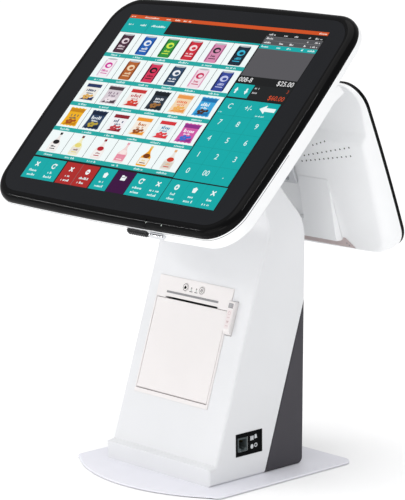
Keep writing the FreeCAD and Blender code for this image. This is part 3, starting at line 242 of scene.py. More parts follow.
def wound_paper(name, axis):
    """Thermal paper wound on a core: fine rings on the ends, about the roll's own axis along x."""
    tree, vector, number = Tree(name), "ShaderNodeVectorMath", "ShaderNodeMath"
    off_axis = tree.step(vector, "SUBTRACT", tree.place, axis, "Vector")
    across = tree.step(vector, "MULTIPLY", off_axis, (0, 1, 1), "Vector")
    radius = tree.step(vector, "LENGTH", across)
    wave = tree.step(number, "SINE", tree.step(number, "MULTIPLY", radius, WINDING))
    rings = tree.between(wave, 0, 1, -1, 1)
    tree.paint(tree.colours(rings, (0.0, linear("dcdad2")), (1.0, linear("f6f5f0"))))
    tree.bump(wave, 2e-5)
    tree.fix(Roughness=0.7)
    return tree.material


def middle(node):
    low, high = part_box(node)
    return (Vector(low) + Vector(high)) / 2


# Each finish: its colour, its roughness and what else sets it apart.
LOOKS = {
    # The three whites are one plastic in three tones: the pedestal's darker and the display's and rear
    # shell's lighter, painted shade and painted light for how the lamps fall on them.
    "white_shell": ("e0e1e3", 0.36, dict(coat=0.12, mottle=0.008, grain=0.0007, depth=3e-6)),
    "display_white_painted_light": ("f2f3f4", 0.36, dict(coat=0.12, mottle=0.006, grain=0.0007, depth=3e-6)),
    "rear_white_painted_light": ("f2f3f4", 0.36, dict(coat=0.12, mottle=0.006, grain=0.0007, depth=3e-6)),
    "printer_white": ("e7e3e2", 0.5, dict(mottle=0.01, grain=0.0005, depth=5e-6)),
    "dark_grey": ("3d3b41", 0.55, dict(specular=0.35, mottle=0.05, grain=0.0005, depth=2.5e-5)),
    "base_steel": ("e5e5ec", 0.5, dict(mottle=0.015, grain=0.0004, depth=9e-6)),
    "steel": ("a8abad", 0.34, dict(metal=1.0, mottle=0.06, grain=0.0004, stretch=(12, 1, 1))),
    "shaft_steel": ("9a9da0", 0.22, dict(metal=1.0, mottle=0.05, grain=0.0003, stretch=(1, 8, 8))),
    "chrome": ("d9dbde", 0.09, dict(metal=1.0, mottle=0.01, depth=5e-7)),
    "screw": ("b4b7ba", 0.28, dict(metal=1.0, mottle=0.06, grain=0.0003)),
    "rubber": ("1d1d1f", 0.85, dict(mottle=0.08, grain=0.0006, depth=3e-5)),
    "black_gloss": ("020203", 0.3, dict(coat=0.14, specular=0.02, mottle=0.05, depth=3e-7)),
    "black_plastic": ("151618", 0.5, dict(mottle=0.08, grain=0.0005, depth=1.5e-5)),
    "glass": ("1a1b1e", 0.08, dict(specular=0.05, mottle=0.03, depth=1e-7)),
    "screen": ("0c5b5c", 0.3, dict(mottle=0.03)),
    "aluminium": ("c9cbcd", 0.33, dict(metal=1.0, mottle=0.04, stretch=(1, 10, 1))),
    "grey_bar": ("7f7f81", 0.36, dict(metal=0.6, mottle=0.05, stretch=(20, 1, 1))),
    "card": ("a08660", 0.8, dict(mottle=0.1, grain=0.001, depth=4e-5)),
    "gear": ("e3e1d4", 0.45, dict(mottle=0.03)),
    "lamp": ("b9c4bd", 0.2, dict(coat=0.5, mottle=0.02)),
    "powder_coat": ("d2d4d7", 0.5, dict(mottle=0.02, grain=0.0005, depth=1.2e-5)),
    "jack_grey": ("4b5354", 0.45, dict(specular=0.2, mottle=0.04, depth=8e-6)),
    "label_black": ("050607", 0.6, dict(specular=0.05, mottle=0.04)),
    "gold": ("d6b25e", 0.2, dict(metal=1.0, mottle=0.03)),
    "ink": ("0c0c0d", 0.6, dict(specular=0.1, mottle=0.05)),
    "pale_ink": ("c9cccf", 0.55, dict(mottle=0.03)),
    "rose_ink": ("c9b4b4", 0.6, dict(mottle=0.04)),
    "lever_rose": ("e6dcdc", 0.6, dict(mottle=0.03)),
    # Painted shade: the grey hairline in the parting gap of the display.
    "seam_shade_grey": ("77787b", 0.6, dict(mottle=0.04)),
    # Painted shade: the rose grey under the rear display's cable cover.
    "painted_shade_rose": ("bfb0af", 0.6, dict(mottle=0.04)),
    "mark_grey": ("8d8a8c", 0.5, dict(mottle=0.05)),
}
FINISH = {name: surface(name, code, rough, **more) for name, (code, rough, more) in LOOKS.items()}
FINISH["board"] = circuit("board")
FINISH["paper"] = wound_paper("paper", middle("paper_roll"))
# The nodes whose finish isn't the one that their material slot names.
OWN_FINISH = {"cash_drawer_jack": "jack_grey", "port_label": "label_black",
              # The display's housing and cover and the rear shell and cable cover wear lighter copies of the
              # white: painted light.
              "display_cover": "display_white_painted_light", "computer_housing": "display_white_painted_light",
              "customer_shell": "rear_white_painted_light", "cable_cover": "rear_white_painted_light",
              "display_bracket": "powder_coat", "customer_bracket": "powder_coat",
              "friction_washers": "powder_coat"}
for part in frame["record"]["subparts"]:
    worn = nodes[part["node"]].data.materials
    worn.clear()
    worn.append(FINISH[OWN_FINISH.get(part["node"], part["material_slot"])])


# ---------------------------------------------------------------- flat frames and pictures
def extent(points):
    """The lowest and the highest corner of the box around points."""
    return [Vector([pick(p[i] for p in points) for i in range(3)]) for pick in (min, max)]


def flat_frame(node, outward):
    """The frame of a node's largest flat face on that side: z out of it, x level, the middle at zero."""
    outward = Vector(outward)
    mesh = nodes[node].data
    areas = {}
    for polygon in mesh.polygons:
        if polygon.normal.dot(outward) > 0.5:
            key = tuple(round(c, 3) for c in polygon.normal)
            areas[key] = areas.get(key, 0.0) + polygon.area
    z = Vector(max(areas, key=areas.get)).normalized()
    x = Vector((0, 0, 1)).cross(z).normalized()
    turn = Matrix((x, z.cross(x), z)).transposed()
    low, high = extent([turn.transposed() @ vertex.co for vertex in mesh.vertices])
    origin = Vector(((low.x + high.x) / 2, (low.y + high.y) / 2, high.z))
    return Matrix.Translation(turn @ origin) @ turn.to_4x4()


def spots_in(node, place):
    """A node's vertices in a frame, in millimetres."""
    back = place.inverted()
    return [back @ vertex.co / MM for vertex in nodes[node].data.vertices]


def box_in(node, place):
    """A node's lowest and highest corner in a frame, in millimetres."""
    return extent(spots_in(node, place))


def mesh_of(build, name="part"):
    """A mesh from a function that fills a bmesh."""
    bm = bmesh.new()
    build(bm)
    bmesh.ops.recalc_face_normals(bm, faces=bm.faces)
    mesh = bpy.data.meshes.new(name)
    bm.to_mesh(mesh)
    bm.free()
    return mesh


def final_mesh(holder):
    """The mesh of an object with its modifiers applied. The object is used up."""
    made = bpy.data.meshes.new_from_object(holder.evaluated_get(bpy.context.evaluated_depsgraph_get()))
    bpy.data.objects.remove(holder)
    return made


def carved(block, tool, **settings):
    """The mesh of an object less another one. Both are used up."""
    cut = block.modifiers.new("cut", "BOOLEAN")
    give(cut, operation="DIFFERENCE", solver="EXACT", object=tool, **settings)
    made = final_mesh(block)
    bpy.data.objects.remove(tool)
    return made


def solid(name, build, materials, place, body):
    """A new piece from a function that fills a bmesh in millimetres in a frame."""
    mesh = mesh_of(build, name)
    mesh.transform(place @ Matrix.Scale(MM, 4))
    for material in materials:
        mesh.materials.append(material)
    piece = add(name, mesh)
    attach(piece, body)
    return piece


def rounded(x, y, rx, ry, sides):
    """The outline of a circle or an ellipse."""
    turns = [2 * math.pi * i / sides for i in range(sides)]
    return [(x + rx * math.cos(turn), y + ry * math.sin(turn)) for turn in turns]


def mirrored(right):
    """The outline whose right side is given, with that side's mirror image as its left."""
    return right + [(-x, y) for x, y in reversed(right)]


def bridge(bm, low, high):
    """The faces between two rings of as many corners."""
    pairs = list(zip(low, high))
    return [bm.faces.new((a, c, d, b)) for (a, b), (c, d) in zip(pairs, pairs[1:] + pairs[:1])]


def prism(bm, points, low, high, material=0):
    """A closed slab between two heights, with that outline in x and y."""
    floor = [bm.verts.new((x, y, low)) for x, y in points]
    roof = [bm.verts.new((x, y, high)) for x, y in points]
    for face in [bm.faces.new(roof), bm.faces.new(floor[::-1])] + bridge(bm, floor, roof):
        face.material_index = material


# A tile's thickness in millimetres, and a capital's height as a share of the type size.
LAYER, CAPITAL = 0.035, 0.7


class Picture:
    """Thin coloured tiles laid on a flat face, in millimetres from an origin on it, with y downwards."""

    def __init__(self, place, left, top, paint):
        self.place, self.left, self.top, self.paint = place, left, top, paint
        self.colours, self.tiles, self.glyphs = [], [], []

    def at(self, x, y):
        """The same picture, drawn on from another origin."""
        moved = Picture(self.place, self.left + x, self.top - y, self.paint)
        moved.colours, moved.tiles, moved.glyphs = self.colours, self.tiles, self.glyphs
        return moved

    def index(self, colour):
        if colour not in self.colours:
            self.colours.append(colour)
        return self.colours.index(colour)

    def shape(self, colour, points, layer=1):
        self.tiles.append((self.index(colour), [(self.left + x, self.top - y) for x, y in points], layer))

    def bar(self, colour, x0, y0, x1, y1, layer=1):
        self.shape(colour, [(x0, y0), (x1, y0), (x1, y1), (x0, y1)], layer)

    def disc(self, colour, x, y, rx, ry=None, layer=1, sides=20):
        self.shape(colour, rounded(x, y, rx, rx if ry is None else ry, sides), layer)

    def ring(self, colour, x, y, radius, width, layer=1, start=0, end=360, sides=24):
        """A ring or an arc of one, as short slabs."""
        for i in range(sides):
            a, b = (math.radians(start + (end - start) * k / sides) for k in (i, i + 1))
            inner, outer = radius - width / 2, radius + width / 2
            self.shape(colour, [(x + inner * math.cos(a), y + inner * math.sin(a)),
                                (x + outer * math.cos(a), y + outer * math.sin(a)),
                                (x + outer * math.cos(b), y + outer * math.sin(b)),
                                (x + inner * math.cos(b), y + inner * math.sin(b))], layer)

    def line(self, colour, x0, y0, x1, y1, width, layer=1):
        dx, dy = x1 - x0, y1 - y0
        long = math.hypot(dx, dy)
        nx, ny = -dy / long * width / 2, dx / long * width / 2
        corners = [(x0 + nx, y0 + ny), (x1 + nx, y1 + ny), (x1 - nx, y1 - ny), (x0 - nx, y0 - ny)]
        self.shape(colour, corners, layer)

    def strokes(self, colour, x, y, width, height, layer=1, seed=0):
        """A word that can't be read: upright strokes of a few heights, centred at x."""
        chance = random.Random(seed)
        pitch = height * 0.62
        count = max(2, int(width / pitch))
        start = x - count * pitch / 2
        for i in range(count):
            if chance.random() < 0.12:
                continue
            tall = height * chance.choice((0.62, 0.62, 0.7, 1.0))
            across = pitch * chance.choice((0.5, 0.62, 0.74))
            left = start + i * pitch
            self.bar(colour, left, y + height - tall, left + across, y + height, layer)

    def text(self, colour, words, x, y, height, layer=1, align="CENTER"):
        """Digits or signs whose capital height is given, on the baseline y."""
        spot = (self.left + x, self.top - y, LAYER * (layer - 0.5))
        self.glyphs.append((self.index(colour), words, spot, height, align))

    def fill(self, bm):
        for material, points, layer in self.tiles:
            prism(bm, points, LAYER * (layer - 1), LAYER * layer, material)
        for material, words, spot, height, align in self.glyphs:
            curve = give(bpy.data.curves.new("glyph", "FONT"), body=words, size=height / CAPITAL,
                         align_x=align, extrude=LAYER / 2, resolution_u=3)
            made = final_mesh(add("glyph", curve))
            made.transform(Matrix.Translation(spot))
            before = len(bm.faces)
            bm.from_mesh(made)
            bm.faces.ensure_lookup_table()
            for face in bm.faces[before:]:
                face.material_index = material
            bpy.data.meshes.remove(made)

    def build(self, name, body, slot):
        solid(name, self.fill, [self.paint(colour) for colour in self.colours], self.place, body)


LIT = {}


def glowing(code):
    if code not in LIT:
        LIT[code] = lit("lit_" + code, code)
    return LIT[code]


def printed(name):
    return FINISH[name]


# ---------------------------------------------------------------- the till's picture on the main screen
DISPLAY = flat_frame("touch_glass", (0, -1, 1))
SCREEN_WIDE, SCREEN_TALL = 304.1, 228.1
TEAL, STRIP, WHITE, BLACK, TEAL_LINE = "0aabaa", "20a9a4", "f4fdfd", "18191a", "0d9290"
GREY, ROW_GREY, RED, PURPLE, ORANGE, DARK_LINE = "58575b", "535457", "b02a28", "3c0640", "d2521f", "0a4f52"
PALE, SOFT, DIGIT, KEY_DIGIT, DIM, CAN_END = "e6ffff", "d8f6f5", "f2f2f2", "e9ffff", "c9cacc", "b9bec2"
till = Picture(DISPLAY, -SCREEN_WIDE / 2 + 0.8, SCREEN_TALL / 2 + 1.2, glowing)
GRID_WIDE, PANEL, EDGE = 220.5, 221.5, 303.2
TILE_PITCH_X, TILE_PITCH_Y, TILE_TOP, TILE_TALL = 36.6, 34.6, 25.0, 29.2


def words(colour, spans, level, height, layer=3, seeds=0):
    """A row of words, each given by its middle and its width."""
    for x, wide in spans:
        till.strokes(colour, x, level, wide, height, layer, seed=x + seeds)


till.bar(BLACK, 0, 0, SCREEN_WIDE, SCREEN_TALL)
till.bar(ORANGE, 0, 0, SCREEN_WIDE, 4.6, 2)
words("ffe9dc", ((6, 7), (36, 24), (63, 8), (78, 9), (94, 14), (297, 11)), 1.2, 2.2, seeds=-2)
till.bar(TEAL, 0, 4.9, 69.5, 22.6, 2)
till.line(DARK_LINE, 38.6, 5.4, 38.6, 22.2, 0.25, 3)
words(PALE, ((10, 9), (30, 10), (54, 25)), 11.8, 2.6, seeds=3)
till.bar(TEAL, 0, 22.6, GRID_WIDE, 24.6, 2)


def can(spot, seeds, body, shade, mark):
    """A drinks can: a straight body that narrows at both ends, with a lid, a band and a round mark."""
    half, tall = 9.4, 26.0
    spot.shape(body, mirrored([(half - 1, 0), (half, 2.4), (half, tall - 1.6), (half - 1, tall)]), 3)
    spot.disc(CAN_END, 0, 0.8, half - 1.4, 1.1, 4)
    spot.bar(shade, 0.3 - half, 2.6, 2.4 - half, tall - 1.6, 4)
    spot.bar(shade, half - 2.0, 2.6, half - 0.3, tall - 1.6, 4)
    spot.disc(mark, 0, 9.5, 5.6, 4.0, 4)
    spot.disc(body, 1.0, 9.9, 3.2, 1.9, 5)
    spot.strokes(mark, 0, 15.5, 12.5, 3.0, 4, seed=seeds[0])
    spot.bar(mark, -5.2, 20.2, 5.2, 21.2, 4)


def packet(spot, seeds, body, shade, mark, food):
    """A sealed packet: crimped ends with small teeth, bowed sides, a band of colour and a heap of food."""
    half, tall, teeth = 12.6, 25.0, 9
    across = [2 * half * i / teeth - half for i in range(teeth + 1)]
    top = [(x, 0.0 if i % 2 else 0.8) for i, x in enumerate(across)]
    foot = [(-x, tall + (0.0 if i % 2 else -0.8)) for i, x in enumerate(across)]
    right = [(half - 0.9, 4), (half - 1.3, tall / 2), (half - 0.5, tall - 4)]
    spot.shape(body, top + right + foot + [(-x, y) for x, y in reversed(right)], 3)
    spot.bar(shade, 1.0 - half, 1.6, half - 1.0, 6.0, 4)
    spot.shape(shade, [(2.2 - half, 23.4), (-3, 18.6), (5, 20.4), (half - 2.2, 18.2), (half - 2.2, 23.4)], 4)
    spot.strokes(mark, 0, 7.6, 17.0, 4.2, 4, seed=seeds[1])
    spot.strokes(mark, 0, 12.8, 12.0, 2.2, 4, seed=seeds[2])
    heap = ((-5.4, 18.8), (-1.8, 17.0), (2.2, 18.2), (5.8, 17.4), (0.4, 20.4), (-3.6, 21.0))
    for i, (x, y) in enumerate(heap):
        spot.disc(food, x, y, 2.3, 1.7, 5 + i % 2, sides=12)


def bottle(spot, seeds, body, cap, label, fill):
    """A bottle: cap, slim neck, round shoulders and a paper label."""
    spot.bar(cap, -1.9, 0, 1.9, 3.0, 4)
    spot.shape(body, mirrored([(1.6, 2.8), (2.0, 7.0), (4.2, 10.4), (7.2, 13.6), (7.8, 16.5), (7.8, 24.4),
                               (6.9, 25.6)]), 3)
    spot.disc(fill, 0, 12.6, 5.0, 2.9, 4)
    spot.bar(label, -7.0, 15.6, 7.0, 23.6, 4)
    spot.strokes(cap, 0, 17.4, 9.0, 2.2, 5, seed=seeds[0])
    spot.bar(fill, -4.2, 21.2, 4.2, 22.2, 5)


# The shelves of goods: what stands on each, and its colours.
SHELVES = [
    (can, [("4a2a3c", "2b1420", "e8d7df"), ("1c5fb4", "0c3a86", "eef4fb"), ("2d9440", "0f5a2a", "d7ef4f"),
           ("cf2c3d", "8d1222", "f7e3e5"), ("d98db2", "a3537f", "2f2630"), ("182a3a", "07101a", "36b6d6")]),
    (can, [("f6eef4", "d9c6d3", "cf2f9a"), ("b5622d", "7a3713", "f3d9b6"), ("d8365a", "4a0f22", "15141a"),
           ("2d4968", "14263a", "f4f6fa"), ("f3dfe8", "dd9bba", "c92a5c"), ("34489a", "161f52", "c6cdee")]),
    (packet, [("f1efe9", "22335f", "22335f", "dba955"), ("d9cfd6", "4a3a44", "8a7488", "efe4ea"),
              ("f4ece8", "c82f2f", "b81f28", "d9442e"), ("2b3542", "141a22", "e9eef4", "9c6b38"),
              ("f5d9b4", "ee9a4c", "e8632e", "f0b25c"), ("39a5dd", "1a70ad", "eaf6fc", "4a2c1e")]),
    (packet, [("f0b21e", "c98508", "37425c", "a84f16"), ("2c4160", "10203a", "e9f0f6", "b9a23c"),
              ("f4f3f6", "8c1f2c", "233a6a", "c03a44"), ("f8efe2", "f09a2e", "c06a1a", "9a4d1c"),
              ("e9f4f6", "d8333a", "2c7fa8", "e0424a"), ("d15aa6", "8f2f8a", "fdf0fa", "3c6fd0")]),
    (bottle, [("efe9e6", "1b1819", "f7f5f3", "1b1819"), ("f4efc8", "6f2e2a", "e9e4dc", "e8da7a"),
              ("f2eae6", "8d1f26", "f6f4f2", "b5202c"), ("f3d7d6", "e8a6b6", "e98fa6", "fbe9e6"),
              ("f0a51e", "e8c36a", "f4efe2", "7a3c10"), ("ece7e0", "e9b07a", "d9d2c6", "cf3a26")]),
]
for row, (draw, goods) in enumerate(SHELVES):
    top = TILE_TOP + row * TILE_PITCH_Y
    till.bar(STRIP, 0, top + TILE_TALL, GRID_WIDE, top + TILE_PITCH_Y, 2)
    for column, paints in enumerate(goods):
        left = column * TILE_PITCH_X + 0.4
        x, y = left + TILE_PITCH_X / 2, top + 2.2
        till.bar(WHITE, left + 0.2, top, left + TILE_PITCH_X - 0.5, top + TILE_TALL, 2)
        draw(till.at(x, y), (int(x), int(x + y), int(x + 2 * y)), *paints)
        till.strokes(SOFT, x, top + TILE_TALL + 1.4, 17, 2.5, 3, seed=row * 7 + column)

# The list of what is bought, and its totals.
till.bar(GREY, PANEL, 12.0, EDGE, 64.5, 2)
till.bar(ROW_GREY, PANEL, 12.0, EDGE, 22.4, 3)
for level in (12.0, 17.2, 22.6):
    till.line("8c8a8e", PANEL, level, EDGE, level, 0.25, 4)
till.bar(TEAL, PANEL, 23.0, EDGE, 28.2, 4)
FULL_ROW = ((229, 11), (249, 7), (264, 7), (283, 3), (296, 10))
for level, tint, spans in ((8.2, "d9dadb", FULL_ROW), (13.4, "f2f2f3", FULL_ROW[:1] + FULL_ROW[3:]),
                           (18.8, "f2f2f3", FULL_ROW), (24.2, "eaffff", FULL_ROW)):
    words(tint, spans, level, 2.3, 5, int(level))
till.bar(BLACK, PANEL, 64.5, EDGE, 74.0, 2)
till.text(DIGIT, "008-8", PANEL + 1.0, 72.2, 6.0, 3, "LEFT")
till.text(DIGIT, "$25.00", 302.0, 72.2, 6.0, 3, "RIGHT")
till.bar(TEAL, PANEL + 0.4, 74.8, 250.2, 92.2, 2)
for x, way in ((228.8, -1), (243.6, 1)):
    till.at(x, 83.6).shape(WHITE, [(-2.6, 0), (0, 4.2 * way), (2.6, 0), (1.1, 0), (1.1, -3.6 * way),
                                   (-1.1, -3.6 * way), (-1.1, 0)], 3)
till.bar("1e2021", 250.8, 74.8, EDGE, 92.4, 2)
till.strokes(DIM, 256.5, 76.8, 7, 2.8, 3, seed=4)
till.strokes(DIM, 256.5, 82.6, 7, 2.8, 3, seed=9)
till.text("b5482c", "3", 301.6, 80.6, 4.2, 3, "RIGHT")
till.text("d8502c", "$60.00", 301.6, 90.8, 5.8, 3, "RIGHT")

# The keypad.
KEY_WIDE, KEY_TALL = 26.6, 20.9
pad = till.at(PANEL + 0.4, 94.4)
pad.bar(TEAL, 0, 0, 3 * KEY_WIDE, 5 * KEY_TALL, 2)
for i in range(1, 5):
    pad.line(TEAL_LINE, 0, i * KEY_TALL, 3 * KEY_WIDE, i * KEY_TALL, 0.3, 3)
for i in range(1, 3):
    pad.line(TEAL_LINE, i * KEY_WIDE, 0, i * KEY_WIDE, 5 * KEY_TALL, 0.3, 3)
KEYS = (("C", "+/-"), ("7", "8", "9"), ("4", "5", "6"), ("1", "2", "3"), ("0", "00", "."))
for row, keys in enumerate(KEYS):
    for column, key in enumerate(keys):
        pad.text(KEY_DIGIT, key, (column + 0.5) * KEY_WIDE, (row + 0.5) * KEY_TALL + 2.0, 6.6, 3)
pad.at(2 * KEY_WIDE + 2.0, 8.4).shape(WHITE, [(0, 0), (8.6, -5.2), (8.6, -2.0), (22.4, -2.0), (22.4, 2.6),
                                              (8.6, 2.6), (8.6, 5.6)], 3)
pad.strokes(SOFT, 4.5, 16.6, 5, 1.8, 3, seed=2)
pad.strokes(SOFT, 2 * KEY_WIDE + 8.5, 16.6, 13, 1.8, 3, seed=5)


# The toolbar along the bottom, and the icons of its buttons.
def cross(spot, tint):
    spot.line(WHITE, -2.6, -2.6, 2.6, 2.6, 1.5, 3)
    spot.line(WHITE, 2.6, -2.6, -2.6, 2.6, 1.5, 4)


def loop(spot, tint):
    spot.ring(WHITE, 0, 0, 2.8, 1.3, 3, 20, 320)
    spot.shape(WHITE, [(1.2, -3.4), (4.6, -2.6), (2.2, 0.2)], 4)


def minus(spot, tint):
    spot.disc(WHITE, 0, 0, 3.2, 3.4, 3)
    spot.line(tint, -1.9, 0, 1.9, 0, 1.0, 4)


def plus(spot, tint):
    minus(spot, tint)
    spot.line(tint, 0, -1.9, 0, 1.9, 1.0, 5)


def house(spot, tint):
    spot.shape(WHITE, [(-3.4, -1.6), (0, -3.6), (3.4, -1.6), (2.2, 3.2), (-2.2, 3.2)], 3)


def folder(spot, tint):
    spot.shape(WHITE, [(-3.8, -3.4), (-0.8, -3.4), (0.2, -2.2), (3.8, -2.2), (3.8, 3.0), (-3.8, 3.0)], 3)
    spot.bar(tint, -3.0, -1.0, 3.0, -0.4, 4)


# Each button: its left and right edge, colour, icon and the width of its upper word.
BAR_TOP = 200.4
BUTTONS = [(0, 27.0, TEAL, cross, 15), (27.0, 55.2, TEAL, loop, 8), (57.2, 83.5, RED, cross, 8),
           (83.5, 110.0, RED, minus, 15), (112.0, 138.6, TEAL, house, 8), (139.6, 167.6, PURPLE, folder, 0),
           (168.4, 194.6, TEAL, loop, 15), (194.6, 221.0, TEAL, cross, 15), (221.9, 249.0, TEAL, plus, 8),
           (249.0, 275.0, TEAL, house, 8), (275.0, EDGE, TEAL, cross, 8)]
for number, (x0, x1, tint, icon, wide) in enumerate(BUTTONS):
    till.bar(tint, x0, BAR_TOP, x1, SCREEN_TALL, 2)
    button = till.at((x0 + x1) / 2, BAR_TOP)
    icon(button.at(0, 8.6), tint)
    if wide:
        button.strokes(PALE, 0, 15.6, wide, 2.9, 3, seed=number)
        button.strokes(PALE, 0, 21.2, 13, 2.9, 3, seed=number + 20)
for x in (26.9, 83.4, 194.5, 248.9, 274.9):
    till.line(TEAL_LINE, x, BAR_TOP, x, SCREEN_TALL, 0.25, 3)
till.build("screen_picture", "main_display", "screen")

# ---------------------------------------------------------------- the seam of cover and housing, drawn as a hairline of painted shade
def hull(points):
    """The convex outline around points in a plane, anticlockwise."""
    points = sorted(set(points))
    sides = []
    for run in (points, points[::-1]):
        side = []
        for p in run:
            while len(side) > 1 and ((side[-1][0] - side[-2][0]) * (p[1] - side[-2][1])
                                     <= (side[-1][1] - side[-2][1]) * (p[0] - side[-2][0])):
                side.pop()
            side.append(p)
        sides += side[:-1]
    return sides


def front_edge(node, place):
    """How far forward a node reaches in a frame, and its convex outline there."""
    spots = spots_in(node, place)
    level = extent(spots)[1].z
    return level, hull([(round(p.x, 3), round(p.y, 3)) for p in spots if p.z > level - 0.05])


SEAM_OUT, SEAM_IN, SEAM_BACK, SEAM_FRONT = 0.05, -0.6, -0.3, 0.4


def seam(bm):
    """A grey hairline round the display, just proud of the step where the housing meets the cover: painted
    shade standing in for the dark gap of the parting line.
    """
    level, outline = front_edge("computer_housing", DISPLAY)
    top = max(y for x, y in outline) - 0.01
    start = next(i for i, (x, y) in enumerate(outline) if y > top and outline[i - 1][1] > top)
    outline = outline[start:] + outline[:start]
    stations = []
    for i, (x, y) in enumerate(outline):
        (ax, ay), (bx, by) = outline[max(i - 1, 0)], outline[min(i + 1, len(outline) - 1)]
        long = math.hypot(bx - ax, by - ay)
        nx, ny = (by - ay) / long, (ax - bx) / long
        stations.append([bm.verts.new((x + nx * out, y + ny * out, level + z))
                         for out, z in ((SEAM_OUT, SEAM_BACK), (SEAM_OUT, SEAM_FRONT), (SEAM_IN, SEAM_FRONT),
                                        (SEAM_IN, SEAM_BACK))])
    bm.faces.new(stations[0])
    bm.faces.new(stations[-1][::-1])
    for low, high in zip(stations, stations[1:]):
        bridge(bm, low, high)


# The hairline's grey is painted shade where the parting gap would be dark.
solid("cover_seam_shade", seam, [FINISH["seam_shade_grey"]], DISPLAY, "main_display")

# ---------------------------------------------------------------- the customer's screen
CUSTOMER = flat_frame("customer_glass", (0, 1, 0.4))
CUSTOMER_WIDE, CUSTOMER_TALL = 256.4, 144.2
PAGE, RULE = "f2f6f6", "c9d1d2"
bill = Picture(CUSTOMER, -CUSTOMER_WIDE / 2, CUSTOMER_TALL / 2, glowing)
bill.bar("1c2226", 0, 0, CUSTOMER_WIDE, CUSTOMER_TALL)
bill.bar(TEAL, 0, 0, CUSTOMER_WIDE, 14, 2)
bill.strokes(PALE, 30, 4.5, 40, 5, 3, seed=1)
bill.bar(PAGE, 8, 22, 160, 112, 2)
for i in range(7):
    level = 28 + i * 11.6
    bill.strokes("6a7376", 36, level, 34 + 6 * (i % 3), 4, 3, seed=i)
    bill.text("3c4447", f"{3 + 2 * i}.00", 152, level + 4, 4.0, 3, "RIGHT")
    bill.line(RULE, 12, level + 7.4, 156, level + 7.4, 0.4, 3)
bill.bar(TEAL, 168, 22, 248, 112, 2)
for i, (x, y) in enumerate(((188, 46), (208, 40), (228, 46), (188, 74), (208, 68), (228, 74))):
    bill.disc((PAGE, "f0b21e", "cf2c3d")[i % 3], x, y, 7.5, 9, 3)
bill.bar("10181b", 0, 120, CUSTOMER_WIDE, CUSTOMER_TALL, 2)
bill.strokes(RULE, 34, 128, 36, 6.5, 3, seed=12)
bill.text("f3f7f7", "$60.00", 248, 137.5, 11.5, 3, "RIGHT")
bill.build("customer_picture", "customer_display", "screen")

# ---------------------------------------------------------------- the rear display's strip of painted shade, its vents darkened with painted shade, and its shell
SHELL = flat_frame("customer_shell", (0, -1, -0.4))
shell_low, _ = box_in("customer_shell", SHELL)
cover_low, cover_high = box_in("cable_cover", SHELL)


def painted_shade_strip(bm):
    """A thin strip of painted shade under the cable cover, rose grey where its downward face lies in shade,
    wider than it, with slanted ends and two studs at each end.
    """
    foot, edge, lip = cover_low.y, cover_high.x, shell_low.y + 7.0
    right = [(edge + 17, lip), (edge + 15, lip + 1.8), (edge + 5, foot + 2.6), (edge + 1.6, foot + 2.6),
             (edge + 0.3, foot)]
    prism(bm, mirrored(right), -0.4, 0.04)
    for side in (-1, 1):
        for x, y in ((edge + 5.5, lip + 4.6), (edge + 8.6, lip + 2.4)):
            prism(bm, rounded(side * x, y, 1, 1, 16), -0.2, 0.1, 1)


# The strip's rose grey is painted shade on the downward face under the cable cover.
solid("painted_shade_strip", painted_shade_strip, [FINISH["painted_shade_rose"], FINISH["mark_grey"]], SHELL, "customer_display")

# A vent's wall is at most this wide and tall, and it reaches at least this high.
VENT_WIDE, VENT_TALL, VENT_LEVEL = 2.2, 2.4, -4.0


def vent_spots():
    """The middle of each vent's outer rim, from the upright walls of the shell's mesh."""
    bm = bmesh.new()
    bm.from_mesh(nodes["customer_shell"].data)
    bmesh.ops.remove_doubles(bm, verts=bm.verts, dist=1e-6)
    bm.transform(Matrix.Scale(1 / MM, 4) @ SHELL.inverted())
    bm.normal_update()
    walls = {face for face in bm.faces if abs(face.normal.z) < 0.1}
    spots = []
    while walls:
        grow, seen = [walls.pop()], []
        while grow:
            face = grow.pop()
            seen.append(face)
            near = {other for edge in face.edges for other in edge.link_faces} & walls
            walls -= near
            grow += near
        low, high = extent([vertex.co for face in seen for vertex in face.verts])
        if high.x - low.x < VENT_WIDE and high.y - low.y < VENT_TALL and high.z > VENT_LEVEL:
            spots.append(((low.x + high.x) / 2, (low.y + high.y) / 2, high.z))
    bm.free()
    return sorted(spots)


# The shell's back as (height, depth) from the foot up: a gentle slope, a soft ridge, then a thinner top.
BACK = [(-110.0, -27.4), (-92.0, -27.8), (-88.0, -27.9), (38.0, -21.5), (43.0, -15.4), (94.0, -10.0),
        (112.0, -9.6)]
# How far the rounded wall draws in at the sides and at the ends, how deep it goes, and how softly it ends.
CORNER_SIDE, CORNER_END, SIDE_DEPTH, ROUND = 19.0, 9.0, 30.0, 2.6
AROUND, RINGS, CAPS = 240, 10, 16


def back_depth(y):
    """The back's depth at that height, with its two corners eased over a few millimetres."""
    def straight(level):
        for (y0, z0), (y1, z1) in zip(BACK, BACK[1:]):
            if level <= y1:
                return z0 + (z1 - z0) * (level - y0) / (y1 - y0)
        return BACK[-1][1]

    return sum(straight(y + step) for step in (-2, -1, 0, 1, 2)) / 5


def even_outline(outline, count):
    """The same closed outline as that many points at equal distances, each with its outward direction."""
    lengths = [math.dist(p, outline[(i + 1) % len(outline)]) for i, p in enumerate(outline)]
    step, spots, i, gone = sum(lengths) / count, [], 0, 0.0
    for n in range(count):
        while n * step > gone + lengths[i]:
            gone += lengths[i]
            i += 1
        share = (n * step - gone) / lengths[i]
        (x0, y0), (x1, y1) = outline[i], outline[(i + 1) % len(outline)]
        spots.append((x0 + (x1 - x0) * share, y0 + (y1 - y0) * share))
    made = []
    for n, (x, y) in enumerate(spots):
        (ax, ay), (bx, by) = spots[n - 2], spots[(n + 2) % count]
        long = math.hypot(bx - ax, by - ay)
        made.append((x, y, (by - ay) / long, (ax - bx) / long))
    return made


